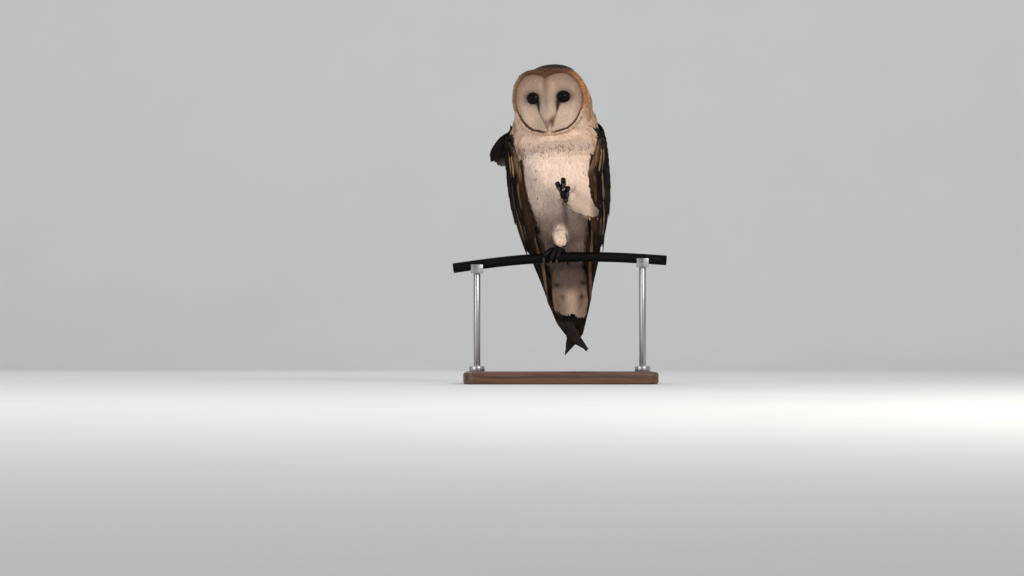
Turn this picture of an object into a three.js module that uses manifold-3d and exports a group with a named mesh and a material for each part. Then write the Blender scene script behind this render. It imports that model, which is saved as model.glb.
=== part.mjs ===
// Barn owl, life size, standing upright on its right leg on a short length of bent metal rod.
// The left leg is drawn up against the belly with the toes curled. A flat base and two rods carry the
// perch.
// Millimetres, +Z up. The owl faces -Y, so its left side is +X. The origin is the middle of the base's
// underside.
import * as THREE from 'three';
import { mergeVertices } from 'three/addons/utils/BufferGeometryUtils.js';
import Module from 'manifold-3d';

const wasm = await Module();
wasm.setup();

// ---------------------------------------------------------------------------------------------
// Driving dimensions

const GAP = 0.35; // left between neighbouring pieces
const SMALLEST = 0.15; // detail left out of cut pieces
const PERCH_HEIGHT = 148; // from the floor to the middle of the perch where the owl stands
const PERCH_RADIUS = 6.2;
const PERCH_HALF_LENGTH = 125;
const PERCH_BEND_RADIUS = 950; // the perch is a piece of a large hoop
const PERCH_CREST_X = 35;
const STANCE_X = 6.5; // where the owl's long axis meets the perch
const LEAN = THREE.MathUtils.degToRad(4.9); // the long axis leans sideways, head towards -X

const HEAD_HEIGHT = 183.2; // middle of the facial disc above the perch, along the long axis
const HEAD_SIDE = 2.8;
const HEAD_TILT = THREE.MathUtils.degToRad(2.6); // back towards upright from the leaning body
const HEAD_TURN = THREE.MathUtils.degToRad(13);
const HEAD_NOD = THREE.MathUtils.degToRad(8);
const HEAD_FORWARD = 4;
const EYE_RADIUS = 9.2;
const EYE_PLACE = [17.2, -27.6, 6.6]; // in the head's own frame
const DISC_THICKNESS = 4;
const RUFF_WIDTH = 3;
const RUFF_DEPTH = 6.4;

const BASE_SIZE = [224, 168, 14];
const BASE_CORNER = 14;
const POST_RADIUS = 4;
const POST_X = 97;

// Feather tracts of a folded wing end on these heights above the perch, at the front and back edge
const WING_TOP = 156;
const COVERTS_END = [46, 64];
const SECONDARIES_END = [22, -8];

// ---------------------------------------------------------------------------------------------
// Curves and surfaces

/** A smooth function through [at, value] pairs that never overshoots them. */
function along(pairs) {
  const knots = [...pairs].sort((a, b) => a[0] - b[0]);
  const slopes = knots.slice(1).map((k, i) => (k[1] - knots[i][1]) / (k[0] - knots[i][0]));
  const tangents = knots.map((_, i) => {
    const before = slopes[Math.max(i - 1, 0)];
    const after = slopes[Math.min(i, slopes.length - 1)];
    return before * after > 0 ? (2 * before * after) / (before + after) : 0;
  });
  return (at) => {
    const x = THREE.MathUtils.clamp(at, knots[0][0], knots.at(-1)[0]);
    const i = Math.min(Math.max(knots.findIndex((k) => k[0] > x) - 1, 0), slopes.length - 1);
    const from = x >= knots.at(-1)[0] ? slopes.length - 1 : i;
    const width = knots[from + 1][0] - knots[from][0];
    const t = (x - knots[from][0]) / width;
    const [p, q] = [knots[from][1], knots[from + 1][1]];
    const [m, n] = [tangents[from] * width, tangents[from + 1] * width];
    return p + t * (m + t * (3 * (q - p) - 2 * m - n + t * (2 * (p - q) + m + n)));
  };
}

const mix = THREE.MathUtils.lerp;
const bell = (distance) => Math.exp(-distance * distance);

/** Turns a geometry's faces round if they point inwards. */
function facingOut(geometry) {
  const g = mergeVertices(stripped(geometry), 1e-4);
  const [p, index] = [g.attributes.position, g.index];
  const [a, b, c] = [new THREE.Vector3(), new THREE.Vector3(), new THREE.Vector3()];
  let volume = 0;
  for (let i = 0; i < index.count; i += 3) {
    a.fromBufferAttribute(p, index.getX(i));
    b.fromBufferAttribute(p, index.getX(i + 1));
    c.fromBufferAttribute(p, index.getX(i + 2));
    volume += a.dot(b.cross(c));
  }
  if (volume < 0) {
    for (let i = 0; i < index.count; i += 3) {
      const swapped = index.getX(i);
      index.setX(i, index.getX(i + 1));
      index.setX(i + 1, swapped);
    }
  }
  return g;
}

function stripped(geometry) {
  const g = geometry.clone();
  g.deleteAttribute('normal');
  g.deleteAttribute('uv');
  return g;
}

/** A sphere's grid moved by place(turn, way): turn goes round from 0 to 1, way from pole to pole. */
function wrapped(around, rings, place) {
  const g = new THREE.SphereGeometry(1, around, rings);
  const [position, uv] = [g.attributes.position, g.attributes.uv];
  for (let i = 0; i < position.count; i++) {
    const way = 1 - uv.getY(i);
    const spot = place(uv.getX(i) % 1, way);
    position.setXYZ(i, spot.x, spot.y, spot.z);
  }
  return facingOut(g);
}

/** A slab's grid moved by place(across, down, depth), each from 0 to 1. */
function slab(columns, rows, place) {
  const g = new THREE.BoxGeometry(1, 1, 1, columns, 1, rows);
  const position = g.attributes.position;
  for (let i = 0; i < position.count; i++) {
    const spot = place(position.getX(i) + 0.5, 0.5 - position.getZ(i), position.getY(i) + 0.5);
    position.setXYZ(i, spot.x, spot.y, spot.z);
  }
  return facingOut(g);
}

/** An upright body with its half width, front and back given as functions of height. */
function upright(around, rings, top, bottom, halfWidth, front, back, squareness = 2.2) {
  const power = 2 / squareness;
  return wrapped(around, rings, (turn, way) => {
    const z = mix(top, bottom, (1 - Math.cos(way * Math.PI)) / 2);
    const angle = turn * 2 * Math.PI;
    const [c, s] = [Math.cos(angle), Math.sin(angle)];
    const [f, b] = [front(z), back(z)];
    const middle = mix(f, b, 0.45);
    const reach = s < 0 ? middle - f : b - middle;
    const cap = way === 0 || way === 1 ? 0 : 1;
    const x = cap * halfWidth(z) * Math.sign(c) * Math.abs(c) ** power;
    const y = middle + cap * reach * Math.sign(s) * Math.abs(s) ** power;
    return new THREE.Vector3(x, y, z);
  });
}

/**
 * A round limb along a smooth line through the points, with a radius for each point and closed round
 * ends.
 */
function limb(points, radii, around, rings, flatness = 1) {
  const curve = new THREE.CatmullRomCurve3(points.map((p) => new THREE.Vector3(...p)));
  const steps = 64;
  const frames = curve.computeFrenetFrames(steps, false);
  const radius = along(radii.map((r, i) => [i / (radii.length - 1), r]));
  return wrapped(around, rings, (turn, way) => {
    const t = (1 - Math.cos(way * Math.PI)) / 2;
    const k = Math.round(t * steps);
    const r = radius(t) * Math.min(1, 1.9 * Math.sin(way * Math.PI));
    const angle = turn * 2 * Math.PI;
    return curve
      .getPoint(k / steps)
      .addScaledVector(frames.normals[k], r * Math.cos(angle))
      .addScaledVector(frames.binormals[k], r * flatness * Math.sin(angle));
  });
}

// ---------------------------------------------------------------------------------------------
// Joining and cutting

function solid(geometry) {
  const g = mergeVertices(stripped(geometry), 1e-4);
  const mesh = new wasm.Mesh({
    numProp: 3,
    vertProperties: new Float32Array(g.attributes.position.array),
    triVerts: new Uint32Array(g.index.array),
  });
  return new wasm.Manifold(mesh);
}

/** The same surface moved outwards until every face lies a gap away from where it was. */
function grown(geometry, by = GAP) {
  const g = mergeVertices(stripped(geometry), 1e-4);
  const [p, index] = [g.attributes.position, g.index];
  const normals = Array.from({ length: p.count }, () => []);
  const corner = (i) => new THREE.Vector3().fromBufferAttribute(p, index.getX(i));
  for (let i = 0; i < index.count; i += 3) {
    const [a, b, c] = [corner(i), corner(i + 1), corner(i + 2)];
    const normal = b.sub(a).cross(c.sub(a)).normalize();
    for (const k of [i, i + 1, i + 2]) normals[index.getX(k)].push(normal);
  }
  normals.forEach((faces, i) => {
    const move = new THREE.Vector3();
    for (let round = 0; round < 12; round++) {
      for (const n of faces) move.addScaledVector(n, Math.max(0, by - move.dot(n)));
    }
    move.clampLength(0, 4 * by);
    p.setXYZ(i, p.getX(i) + move.x, p.getY(i) + move.y, p.getZ(i) + move.z);
  });
  return g;
}

function geometryOf(manifold) {
  const largest = manifold.decompose().reduce((a, b) => (a.volume() > b.volume() ? a : b));
  const mesh = largest.asOriginal().simplify(SMALLEST).getMesh();
  const g = new THREE.BufferGeometry();
  g.setAttribute('position', new THREE.BufferAttribute(new Float32Array(mesh.vertProperties), 3));
  g.setIndex(new THREE.BufferAttribute(new Uint32Array(mesh.triVerts), 1));
  return g;
}

/** A geometry with room cut in it for the others, and a gap round them. */
function roomFor(geometry, others) {
  return geometryOf(others.reduce((left, other) => left.subtract(solid(grown(other))), solid(geometry)));
}

/**
 * The part of a solid above or below a plane that meets the long axis at a height and rises towards the
 * back.
 */
function beyond(manifold, height, rise, side) {
  const size = 400;
  const half = new THREE.BoxGeometry(size, size, size);
  half.translate(0, 0, (side * (size + GAP)) / 2);
  half.rotateX(rise);
  half.translate(0, 0, height);
  return manifold.intersect(solid(half));
}

// ---------------------------------------------------------------------------------------------
// Materials and nodes

const COLOURS = {
  white_plumage: 0xeee4da,
  golden_plumage: 0xb5783f,
  grey_plumage: 0x6f6660,
  flight_feather: 0x5b4635,
  ruff: 0x8a5426,
  eye: 0x0c0a09,
  horn: 0xd9b9a4,
  toe: 0x4a4441,
  claw: 0x1c1918,
  rod: 0x2b2725,
  wood: 0x4a3222,
  steel: 0x8e9194,
};

function node(name, geometry, colour, roughness = 0.8, metalness = 0) {
  const material = new THREE.MeshStandardMaterial({ color: COLOURS[colour], roughness, metalness });
  const shown = geometry.index ? geometry.toNonIndexed() : geometry;
  shown.computeVertexNormals();
  const mesh = new THREE.Mesh(shown, material);
  mesh.name = name;
  return mesh;
}

// ---------------------------------------------------------------------------------------------
// Head: x to the owl's left, y to the back, z up, from the middle of the facial disc

/** Distance from the disc's middle to its heart-shaped edge, in a direction in degrees above level. */
const heartRadius = along([
  [-90, 33.2], [-68, 34], [-55, 35.8], [-38, 36.8], [-18, 37.6], [0, 39.8], [13, 40.6], [33, 42.4],
  [48, 42.2], [57, 40.8], [66, 38.4], [77, 34.8], [90, 30.8],
]);

/** The same for the outline of the whole head. */
const headRadius = along([
  [-90, 46], [-50, 49.5], [-16, 48.6], [0, 44.8], [12, 42.4], [33, 42.3], [45, 43], [55, 44.2], [65, 44.6],
  [78, 44.2], [90, 44],
]);

const crestHeight = along([[34, 1], [22, 3.4], [8, 5.6], [-10, 9], [-20, 5], [-27, 1]]);
const crestWidth = along([[34, 3.5], [20, 4.5], [6, 7], [-8, 9], [-20, 6.5], [-30, 5]]);

/** Front of the face: bowed to the sides, a shallow dish round each eye, and a crest down to the bill. */
function faceDepth(x, z) {
  const bow = 0.0062 * x * x + 0.002 * z * z;
  const dish = 4.5 * bell(Math.hypot(Math.abs(x) - 19, z - 4) / 20);
  const crest = crestHeight(z) * bell(x / crestWidth(z));
  return -40 + bow + dish - crest;
}

/** Turns drawn together above and below, where the crest runs. */
const gathered = (turn) => turn + 0.042 * Math.sin(4 * Math.PI * turn);

/** Degrees above level of a turn that starts at the owl's left. */
function elevation(turn) {
  const degrees = gathered(turn) * 360;
  return 90 - Math.abs(90 - (degrees > 270 ? degrees - 360 : degrees));
}

function onFace(turn, radius, depth) {
  const angle = gathered(turn) * 2 * Math.PI;
  return new THREE.Vector3(radius * Math.cos(angle), depth, radius * Math.sin(angle));
}

function faceSpot(turn, radius, behind) {
  const spot = onFace(turn, radius, 0);
  return spot.setY(faceDepth(spot.x, spot.z) + behind);
}

function facialDisc() {
  const share = 0.75; // of the rings lie on the front
  return wrapped(24, 12, (turn, way) => {
    const out = way < share ? way / share : (1 - way) / (1 - share);
    return faceSpot(turn, out * (heartRadius(elevation(turn)) - 0.2), way < share ? 0 : DISC_THICKNESS);
  });
}

function facialRuff() {
  const g = new THREE.TorusGeometry(1, 0.2, 6, 24);
  const [position, uv] = [g.attributes.position, g.attributes.uv];
  for (let i = 0; i < position.count; i++) {
    const turn = uv.getX(i) % 1;
    const round = (uv.getY(i) % 1) * 2 * Math.PI;
    const edge = heartRadius(elevation(turn));
    const spot = faceSpot(turn, edge, 1 + (RUFF_DEPTH / 2) * Math.sin(round));
    const out = edge + 0.3 + (RUFF_WIDTH / 2) * (1 + Math.cos(round));
    const moved = onFace(turn, out, spot.y);
    position.setXYZ(i, moved.x, moved.y, moved.z);
  }
  return facingOut(g);
}

/** The head behind the disc and the ruff: a seat for them, then round to the nape. */
function cranium() {
  const [widestY, nape] = [-2, 45];
  const seat = DISC_THICKNESS + 0.5;
  const seatEnd = 0.32;
  return wrapped(24, 15, (turn, way) => {
    const up = elevation(turn);
    const [edge, outline] = [heartRadius(up), headRadius(up)];
    const outside = edge + RUFF_WIDTH - 0.4;
    if (way <= seatEnd) return faceSpot(turn, (way / seatEnd) * outside, seat);
    const start = faceSpot(turn, outside, seat).y;
    const t = (way - seatEnd) / (1 - seatEnd);
    const front = 0.34;
    if (t <= front) {
      const bend = ((t / front) * Math.PI) / 2;
      return onFace(turn, mix(outside, outline, Math.sin(bend)), mix(start, widestY, 1 - Math.cos(bend)));
    }
    const bend = (((t - front) / (1 - front)) * Math.PI) / 2;
    return onFace(turn, outline * Math.cos(bend), mix(widestY, nape, Math.sin(bend)));
  });
}

function eye(side) {
  const g = new THREE.SphereGeometry(EYE_RADIUS, 12, 7);
  g.rotateX(Math.PI / 2);
  return facingOut(g.translate(side * EYE_PLACE[0], EYE_PLACE[1], EYE_PLACE[2]));
}

function billUpper() {
  const culmen = [[0, -38, -8], [0, -46.5, -12.5], [0, -51.2, -21], [0, -48.8, -31]];
  return limb(culmen, [4.4, 4.6, 3.6, 0.9], 10, 8);
}

function billLower() {
  return limb([[0, -37, -17], [0, -43.2, -21], [0, -46, -27.5]], [3.4, 2.8, 1], 8, 6);
}

function onOwl(geometry) {
  const turned = geometry.clone().rotateX(HEAD_NOD).rotateZ(-HEAD_TURN).rotateY(HEAD_TILT);
  return turned.translate(HEAD_SIDE, -HEAD_FORWARD, HEAD_HEIGHT);
}

// ---------------------------------------------------------------------------------------------
// Neck and trunk: heights are above the perch

function neckColumn() {
  const halfWidth = along([
    [174, 41], [166, 47.5], [156, 49], [140, 49.5], [130, 49], [122, 48], [118, 46.5],
  ]);
  const front = along([
    [174, -6], [163, -14], [150, -22], [143, -28], [138, -36], [133, -45], [127, -50], [121, -51],
    [118, -49.5],
  ]);
  const back = along([[174, 34], [163, 37], [150, 41], [135, 44.5], [118, 46]]);
  return upright(20, 9, 174, 117, halfWidth, front, back).translate(3, 0, 0);
}

function trunkBody() {
  const halfWidth = along([
    [152, 20], [146, 36], [132, 44], [112, 46.5], [90, 47], [65, 46.5], [45, 43], [28, 37], [12, 31],
    [-5, 24],
    [-18, 19.5], [-28, 15], [-34, 9],
  ]);
  const front = along([
    [152, -16], [140, -36], [128, -43], [115, -47], [100, -51], [84, -53.5], [74, -52.5], [64, -48.5],
    [54, -41], [44, -30], [34, -16.5], [26, -4.5], [19, 7], [12, 12], [0, 16], [-15, 26], [-28, 35],
    [-34, 39],
  ]);
  const back = along([
    [152, 34], [140, 43], [125, 47.5], [108, 50], [90, 52], [65, 53], [40, 51], [18, 50.5], [-15, 50],
    [-34, 45],
  ]);
  return upright(20, 17, 152, -34, halfWidth, front, back, 2.3);
}

// ---------------------------------------------------------------------------------------------
// Wings: each is a curved sheet round the flank and back, thick at the wrist and thin at the tip

const wing = {
  outside: along([
    [156, 52.5], [146, 57], [130, 59.5], [110, 60], [90, 60], [65, 58.3], [40, 54], [18, 48.4],
    [5, 44.6], [-10, 39.6],
    [-30, 32.2], [-55, 25.3], [-75, 16], [-88, 12.5], [-100, 9.5], [-108, 5], [-115, 2],
  ]),
  middleY: along([
    [156, 8], [146, 5], [130, 2], [110, 0], [90, 0], [65, 1], [40, 5], [18, 24], [5, 26], [-10, 30],
    [-30, 37],
    [-55, 46], [-75, 55], [-88, 63], [-115, 69],
  ]),
  frontReach: along([
    [156, 34], [130, 47], [110, 49], [90, 50], [65, 50], [40, 48], [18, 30], [5, 21], [-10, 21],
    [-30, 15], [-55, 9],
    [-75, 6], [-88, 3],
  ]),
  backReach: along([
    [156, 34], [146, 41], [130, 47], [110, 51], [90, 53], [65, 54], [40, 53], [18, 36], [5, 33],
    [-10, 28], [-30, 20],
    [-55, 13], [-75, 8], [-88, 3], [-115, 1.5],
  ]),
  frontAngle: {
    left: along([
      [156, 12], [146, -8], [130, -35], [110, -45], [90, -54], [65, -55], [40, -50], [18, -46], [5, -48],
      [-10, -47],
      [-30, -36], [-55, -22], [-75, -10], [-88, 0],
    ]),
    right: along([
      [156, 12], [146, -8], [130, -35], [110, -41], [90, -43], [65, -44], [40, -48], [18, -46], [5, -48],
      [-10, -47],
      [-30, -36], [-55, -22], [-75, -10], [-88, 0],
    ]),
  },
  backAngle: along([
    [156, 38], [146, 44], [130, 50], [110, 60], [90, 71], [65, 83], [45, 88.6], [-20, 88.6], [-30, 94],
    [-55, 113],
    [-75, 152], [-88, 178],
  ]),
  thickness: along([
    [156, 3], [146, 7], [130, 10], [110, 12], [65, 11], [40, 9.5], [18, 8], [-10, 6.5], [-30, 5],
    [-55, 4], [-88, 3],
    [-115, 2],
  ]),
  overlap: along([
    [-5, 0], [-18, 5], [-30, 8], [-75, 7.8], [-115, 7.5],
  ]), // the left wing lies over the right
  tipShift: {
    left: along([[-55, 0], [-75, 3.5], [-88, 2.5], [-100, -1.5], [-108, -5.5], [-115, -9.3]]),
    right: along([[-55, 0], [-75, 2.5], [-88, -2.5], [-95, -6.5], [-102, -10.5], [-107, -16], [-110, -18]]),
  },
  tip: { left: -115, right: -109 },
};

/**
 * A place on a wing: across from its front edge to its back edge, at a height, and depth in from outside.
 */
function wingPlace(side, across, z, depth) {
  const which = side > 0 ? 'left' : 'right';
  const angle = THREE.MathUtils.degToRad(mix(wing.frontAngle[which](z), wing.backAngle(z), across));
  const reach = angle < 0 ? wing.frontReach(z) : wing.backReach(z);
  const over = side > 0 ? wing.overlap(z) : 0;
  const outward = new THREE.Vector2(Math.cos(angle) * reach, Math.sin(angle) * wing.outside(z)).normalize();
  const x = wing.outside(z) * Math.cos(angle) + wing.tipShift[which](z);
  const y = wing.middleY(z) + (reach + Math.max(0, Math.sin(angle)) * over) * Math.sin(angle);
  const inward = depth * wing.thickness(z);
  const shift = z < -75 ? over * 0.8 : 0;
  return new THREE.Vector3(side * (x - outward.x * inward), y + shift - outward.y * inward, z);
}

/** The piece of a wing between two heights, each given at its front and back edge. */
function wingPiece(side, columns, rows, top, bottom) {
  return slab(columns, rows, (across, down, depth) => {
    const z = mix(mix(top[0], top[1], across), mix(bottom[0], bottom[1], across), down);
    return wingPlace(side, across, z, depth);
  });
}

function wingPieces(side) {
  const tip = wing.tip[side > 0 ? 'left' : 'right'];
  const below = ([front, back]) => [front - GAP, back - GAP];
  return {
    coverts: wingPiece(side, 9, 6, [WING_TOP, WING_TOP], COVERTS_END),
    secondaries: wingPiece(side, 9, 3, below(COVERTS_END), SECONDARIES_END),
    primaries: wingPiece(side, 8, 8, below(SECONDARIES_END), [tip, tip]),
  };
}

/** A tuft of shoulder feathers that stands out from the right wing. */
function shoulderTuft() {
  const outline = new THREE.Shape();
  outline.moveTo(-53, 157);
  const through = (points) => outline.splineThru(points.map((p) => new THREE.Vector2(...p)));
  through([[-60, 151], [-68, 143], [-74, 134], [-78.5, 124]]);
  outline.lineTo(-75, 118);
  outline.lineTo(-71, 120.5);
  outline.lineTo(-66, 113);
  outline.lineTo(-60, 114);
  through([[-57.5, 124], [-55, 140]]);
  outline.closePath();
  const g = new THREE.ExtrudeGeometry(outline, { depth: 4, bevelEnabled: false, curveSegments: 3 });
  return facingOut(g.rotateX(Math.PI / 2).translate(0, 16, 0));
}

function tailFan() {
  const halfWidth = along([
    [-6, 15.5], [-30, 20.8], [-45, 19.4], [-55, 17.2], [-68, 14], [-73, 11.5], [-75, 8],
  ]);
  const middleY = along([[-6, 43], [-30, 45.6], [-55, 49.6], [-75, 54.6]]);
  return slab(6, 6, (across, down, depth) => {
    const z = mix(-6, -75, down);
    const side = 2 * across - 1;
    const bow = 1.6 * side * side; // the edges curl forward
    return new THREE.Vector3(side * halfWidth(z), middleY(z) - bow + mix(1.7, -1.7, depth), z);
  });
}

// ---------------------------------------------------------------------------------------------
// Legs and feet

const legPoints = {
  rightThigh: [[-13, -24, 74], [-10, -22, 60], [-6, -16, 46], [-4, -9, 34]],
  rightShank: [[-4, 0, 46], [-6, -5, 35], [-4.6, -3, 25], [-3, 1, 13.5]],
  leftThigh: [[12, -22, 90], [16, -33, 72], [24, -39, 55], [36, -39, 45.5]],
  leftShank: [[36, -41.5, 46.5], [25, -51, 54.5], [13, -58, 64], [5.5, -60.5, 70]],
};

function thigh(points, radii) {
  return limb(points, radii, 12, 8);
}

function shank(points, radii) {
  return limb(points, radii, 10, 7);
}

/**
 * A toe and its claw that grip the perch. Angles go over the top of the perch towards the front, in
 * degrees.
 */
function grippingToe({ fromX, toX, fromAngle, toAngle, radius, claw }) {
  const hold = PERCH_RADIUS + GAP + radius;
  const spot = (share) => {
    const angle = THREE.MathUtils.degToRad(mix(fromAngle, toAngle, share));
    const x = mix(fromX, toX, share);
    return [x, -hold * Math.sin(angle), hold * Math.cos(angle) + perchDrop(x)];
  };
  const points = [0, 0.25, 0.5, 0.75, 1].map(spot);
  const [x, y, z] = points.at(-1);
  const inward = -Math.sign(y);
  const bend = [x + claw.aside * 0.4, y + inward * 0.6, z - claw.drop * 0.45];
  const tip = [x + claw.aside, y + inward * 3.4, z - claw.drop];
  return {
    toe: limb(points, [radius * 1.05, radius, radius * 0.92, radius * 0.95, radius * 0.8], 6, 6),
    claw: limb([[x, y, z], bend, tip], [radius * 0.72, radius * 0.5, 0.5], 6, 4),
  };
}

const rightToes = {
  inner: { fromX: 1, toX: -3.4, fromAngle: 12, toAngle: 100, radius: 3.3, claw: { aside: -2, drop: 12 } },
  middle: { fromX: -4, toX: -11, fromAngle: 12, toAngle: 106, radius: 3.5, claw: { aside: 1.5, drop: 13 } },
  outer: { fromX: -7, toX: -19, fromAngle: 5, toAngle: 84, radius: 3.2, claw: { aside: 0.5, drop: 11 } },
  hind: { fromX: 2, toX: 8.5, fromAngle: -14, toAngle: -104, radius: 3, claw: { aside: 2, drop: 10 } },
};

const leftToes = {
  inner: [[0.5, -63, 74], [-2, -65, 79.5], [-3.4, -68.5, 83.5], [-3.4, -72.5, 83], [-2.8, -74.5, 79.5]],
  middle: [[3, -64, 76], [3.6, -66, 83], [3.8, -69.5, 87.5], [3.6, -73.8, 87], [3.2, -75.4, 83]],
  outer: [[5.4, -63, 72], [7.6, -66, 75.5], [8.6, -69.5, 77.5], [8.4, -73.2, 76], [8, -74.4, 72.5]],
  hind: [[4.2, -63, 66.5], [4.4, -66.5, 63.5], [4.8, -70, 62.6], [4.9, -72.5, 62.8]],
};

/** A curled toe of the raised foot and the claw that carries its curve on. */
function curledToe(points, radius) {
  const end = new THREE.Vector3(...points.at(-1));
  const along = end.clone().sub(new THREE.Vector3(...points.at(-2))).normalize();
  const inward = new THREE.Vector3(0, 0.42, 0);
  const middle = end.clone().addScaledVector(along, 5).addScaledVector(inward, 2);
  const tip = end.clone().addScaledVector(along, 9.5).addScaledVector(inward, 9);
  return {
    toe: limb(points, points.map((_, i) => radius * mix(1.05, 0.8, i / (points.length - 1))), 6, 6),
    claw: limb([end.toArray(), middle.toArray(), tip.toArray()], [radius * 0.7, radius * 0.5, 0.5], 6, 4),
  };
}

const eachDigit = (digits, make) => {
  return Object.fromEntries(Object.entries(digits).map(([digit, given]) => [digit, make(given)]));
};

/** Named toes and claws with room cut in each for those before it. */
function footPieces(prefix, palm, toes) {
  const pieces = [[prefix, palm, 'toe']];
  const before = [palm];
  for (const [digit, { toe, claw }] of Object.entries(toes)) {
    pieces.push([`${prefix}_${digit}_toe`, roomFor(toe, before), 'toe']);
    before.push(toe);
    pieces.push([`${prefix}_${digit}_claw`, roomFor(claw, [toe]), 'claw']);
  }
  return pieces;
}

// ---------------------------------------------------------------------------------------------
// Perch and stand

/** How far the perch lies below its height at the owl's foot. */
function perchDrop(x) {
  const fall = (at) => (at - PERCH_CREST_X) ** 2 / (2 * PERCH_BEND_RADIUS);
  return fall(0) - fall(x);
}

function circle(radius) {
  return new THREE.Shape().absarc(0, 0, radius, 0, 2 * Math.PI);
}

function perchTube(radius) {
  const points = [-1, -0.5, 0, 0.5, 1].map((share) => {
    const x = share * PERCH_HALF_LENGTH;
    return new THREE.Vector3(x, 0, perchDrop(x));
  });
  const extrudePath = new THREE.CatmullRomCurve3(points);
  const g = new THREE.ExtrudeGeometry(circle(radius), { steps: 8, curveSegments: 5, extrudePath });
  return facingOut(g);
}

function standBase() {
  const [width, depth, height] = BASE_SIZE;
  const bevel = 2;
  const [hx, hy] = [width / 2 - bevel, depth / 2 - bevel];
  const r = BASE_CORNER - bevel;
  const outline = new THREE.Shape();
  outline.absarc(hx - r, hy - r, r, 0, Math.PI / 2);
  outline.absarc(-hx + r, hy - r, r, Math.PI / 2, Math.PI);
  outline.absarc(-hx + r, -hy + r, r, Math.PI, 1.5 * Math.PI);
  outline.absarc(hx - r, -hy + r, r, 1.5 * Math.PI, 2 * Math.PI);
  const g = new THREE.ExtrudeGeometry(outline, {
    depth: height - 2 * bevel, curveSegments: 3, bevelThickness: bevel, bevelSize: bevel, bevelSegments: 1,
  });
  return facingOut(g.translate(0, 0, bevel));
}

const cylinder = (radius, from, to, x) => {
  const g = new THREE.CylinderGeometry(radius, radius, to - from, 12);
  return facingOut(g.rotateX(Math.PI / 2).translate(x, 0, (from + to) / 2));
};

const COLLAR = { radius: 9, height: 6 };
const SADDLE = { length: 14, width: 15, below: 4 };

function saddle(x) {
  const perch = PERCH_HEIGHT + perchDrop(x);
  const bottom = perch - PERCH_RADIUS - SADDLE.below;
  const block = new THREE.BoxGeometry(SADDLE.length, SADDLE.width, perch - bottom);
  block.translate(x, 0, (perch + bottom) / 2);
  return roomFor(block, [perchTube(PERCH_RADIUS).translate(0, 0, PERCH_HEIGHT)]);
}

function standPieces() {
  const top = BASE_SIZE[2];
  const pieces = [['stand_base', standBase(), 'wood']];
  for (const [side, x] of [['left', POST_X], ['right', -POST_X]]) {
    const saddleBottom = PERCH_HEIGHT + perchDrop(x) - PERCH_RADIUS - SADDLE.below;
    const collar = cylinder(COLLAR.radius, top + GAP, top + GAP + COLLAR.height, x);
    pieces.push([`stand_collar_${side}`, collar, 'steel']);
    const post = cylinder(POST_RADIUS, top + 2 * GAP + COLLAR.height, saddleBottom - GAP, x);
    pieces.push([`stand_post_${side}`, post, 'steel']);
    pieces.push([`stand_saddle_${side}`, saddle(x), 'steel']);
  }
  return pieces;
}

// ---------------------------------------------------------------------------------------------
// Assembly

function headAndNeck(wings) {
  const [eyeLeft, eyeRight] = [onOwl(eye(1)), onOwl(eye(-1))];
  const [upper, lower] = [onOwl(billUpper()), onOwl(billLower())];
  const [disc, ruff] = [onOwl(facialDisc()), onOwl(facialRuff())];
  const set = [eyeLeft, eyeRight, upper, lower];
  const fitted = [...set, disc, ruff, ...wings];
  const flesh = solid(onOwl(cranium())).add(solid(neckColumn())).add(solid(trunkBody()));
  const carved = fitted.reduce((left, g) => left.subtract(solid(grown(g))), flesh);
  const [jaw, collar] = [{ height: 150.5, rise: 0.13 }, { height: 116.5, rise: 0 }];
  const aboveCollar = beyond(carved, collar.height, collar.rise, 1);
  return {
    pieces: [
      ['head', geometryOf(beyond(aboveCollar, jaw.height, jaw.rise, 1)), 'golden_plumage'],
      ['facial_disc', roomFor(disc, set), 'white_plumage'],
      ['facial_ruff', ruff, 'ruff'],
      ['eye_left', eyeLeft, 'eye'],
      ['eye_right', eyeRight, 'eye'],
      ['bill_upper', upper, 'horn'],
      ['bill_lower', lower, 'horn'],
      ['neck', geometryOf(beyond(aboveCollar, jaw.height, jaw.rise, -1)), 'white_plumage'],
    ],
    belowCollar: beyond(carved, collar.height, collar.rise, -1),
  };
}

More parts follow.
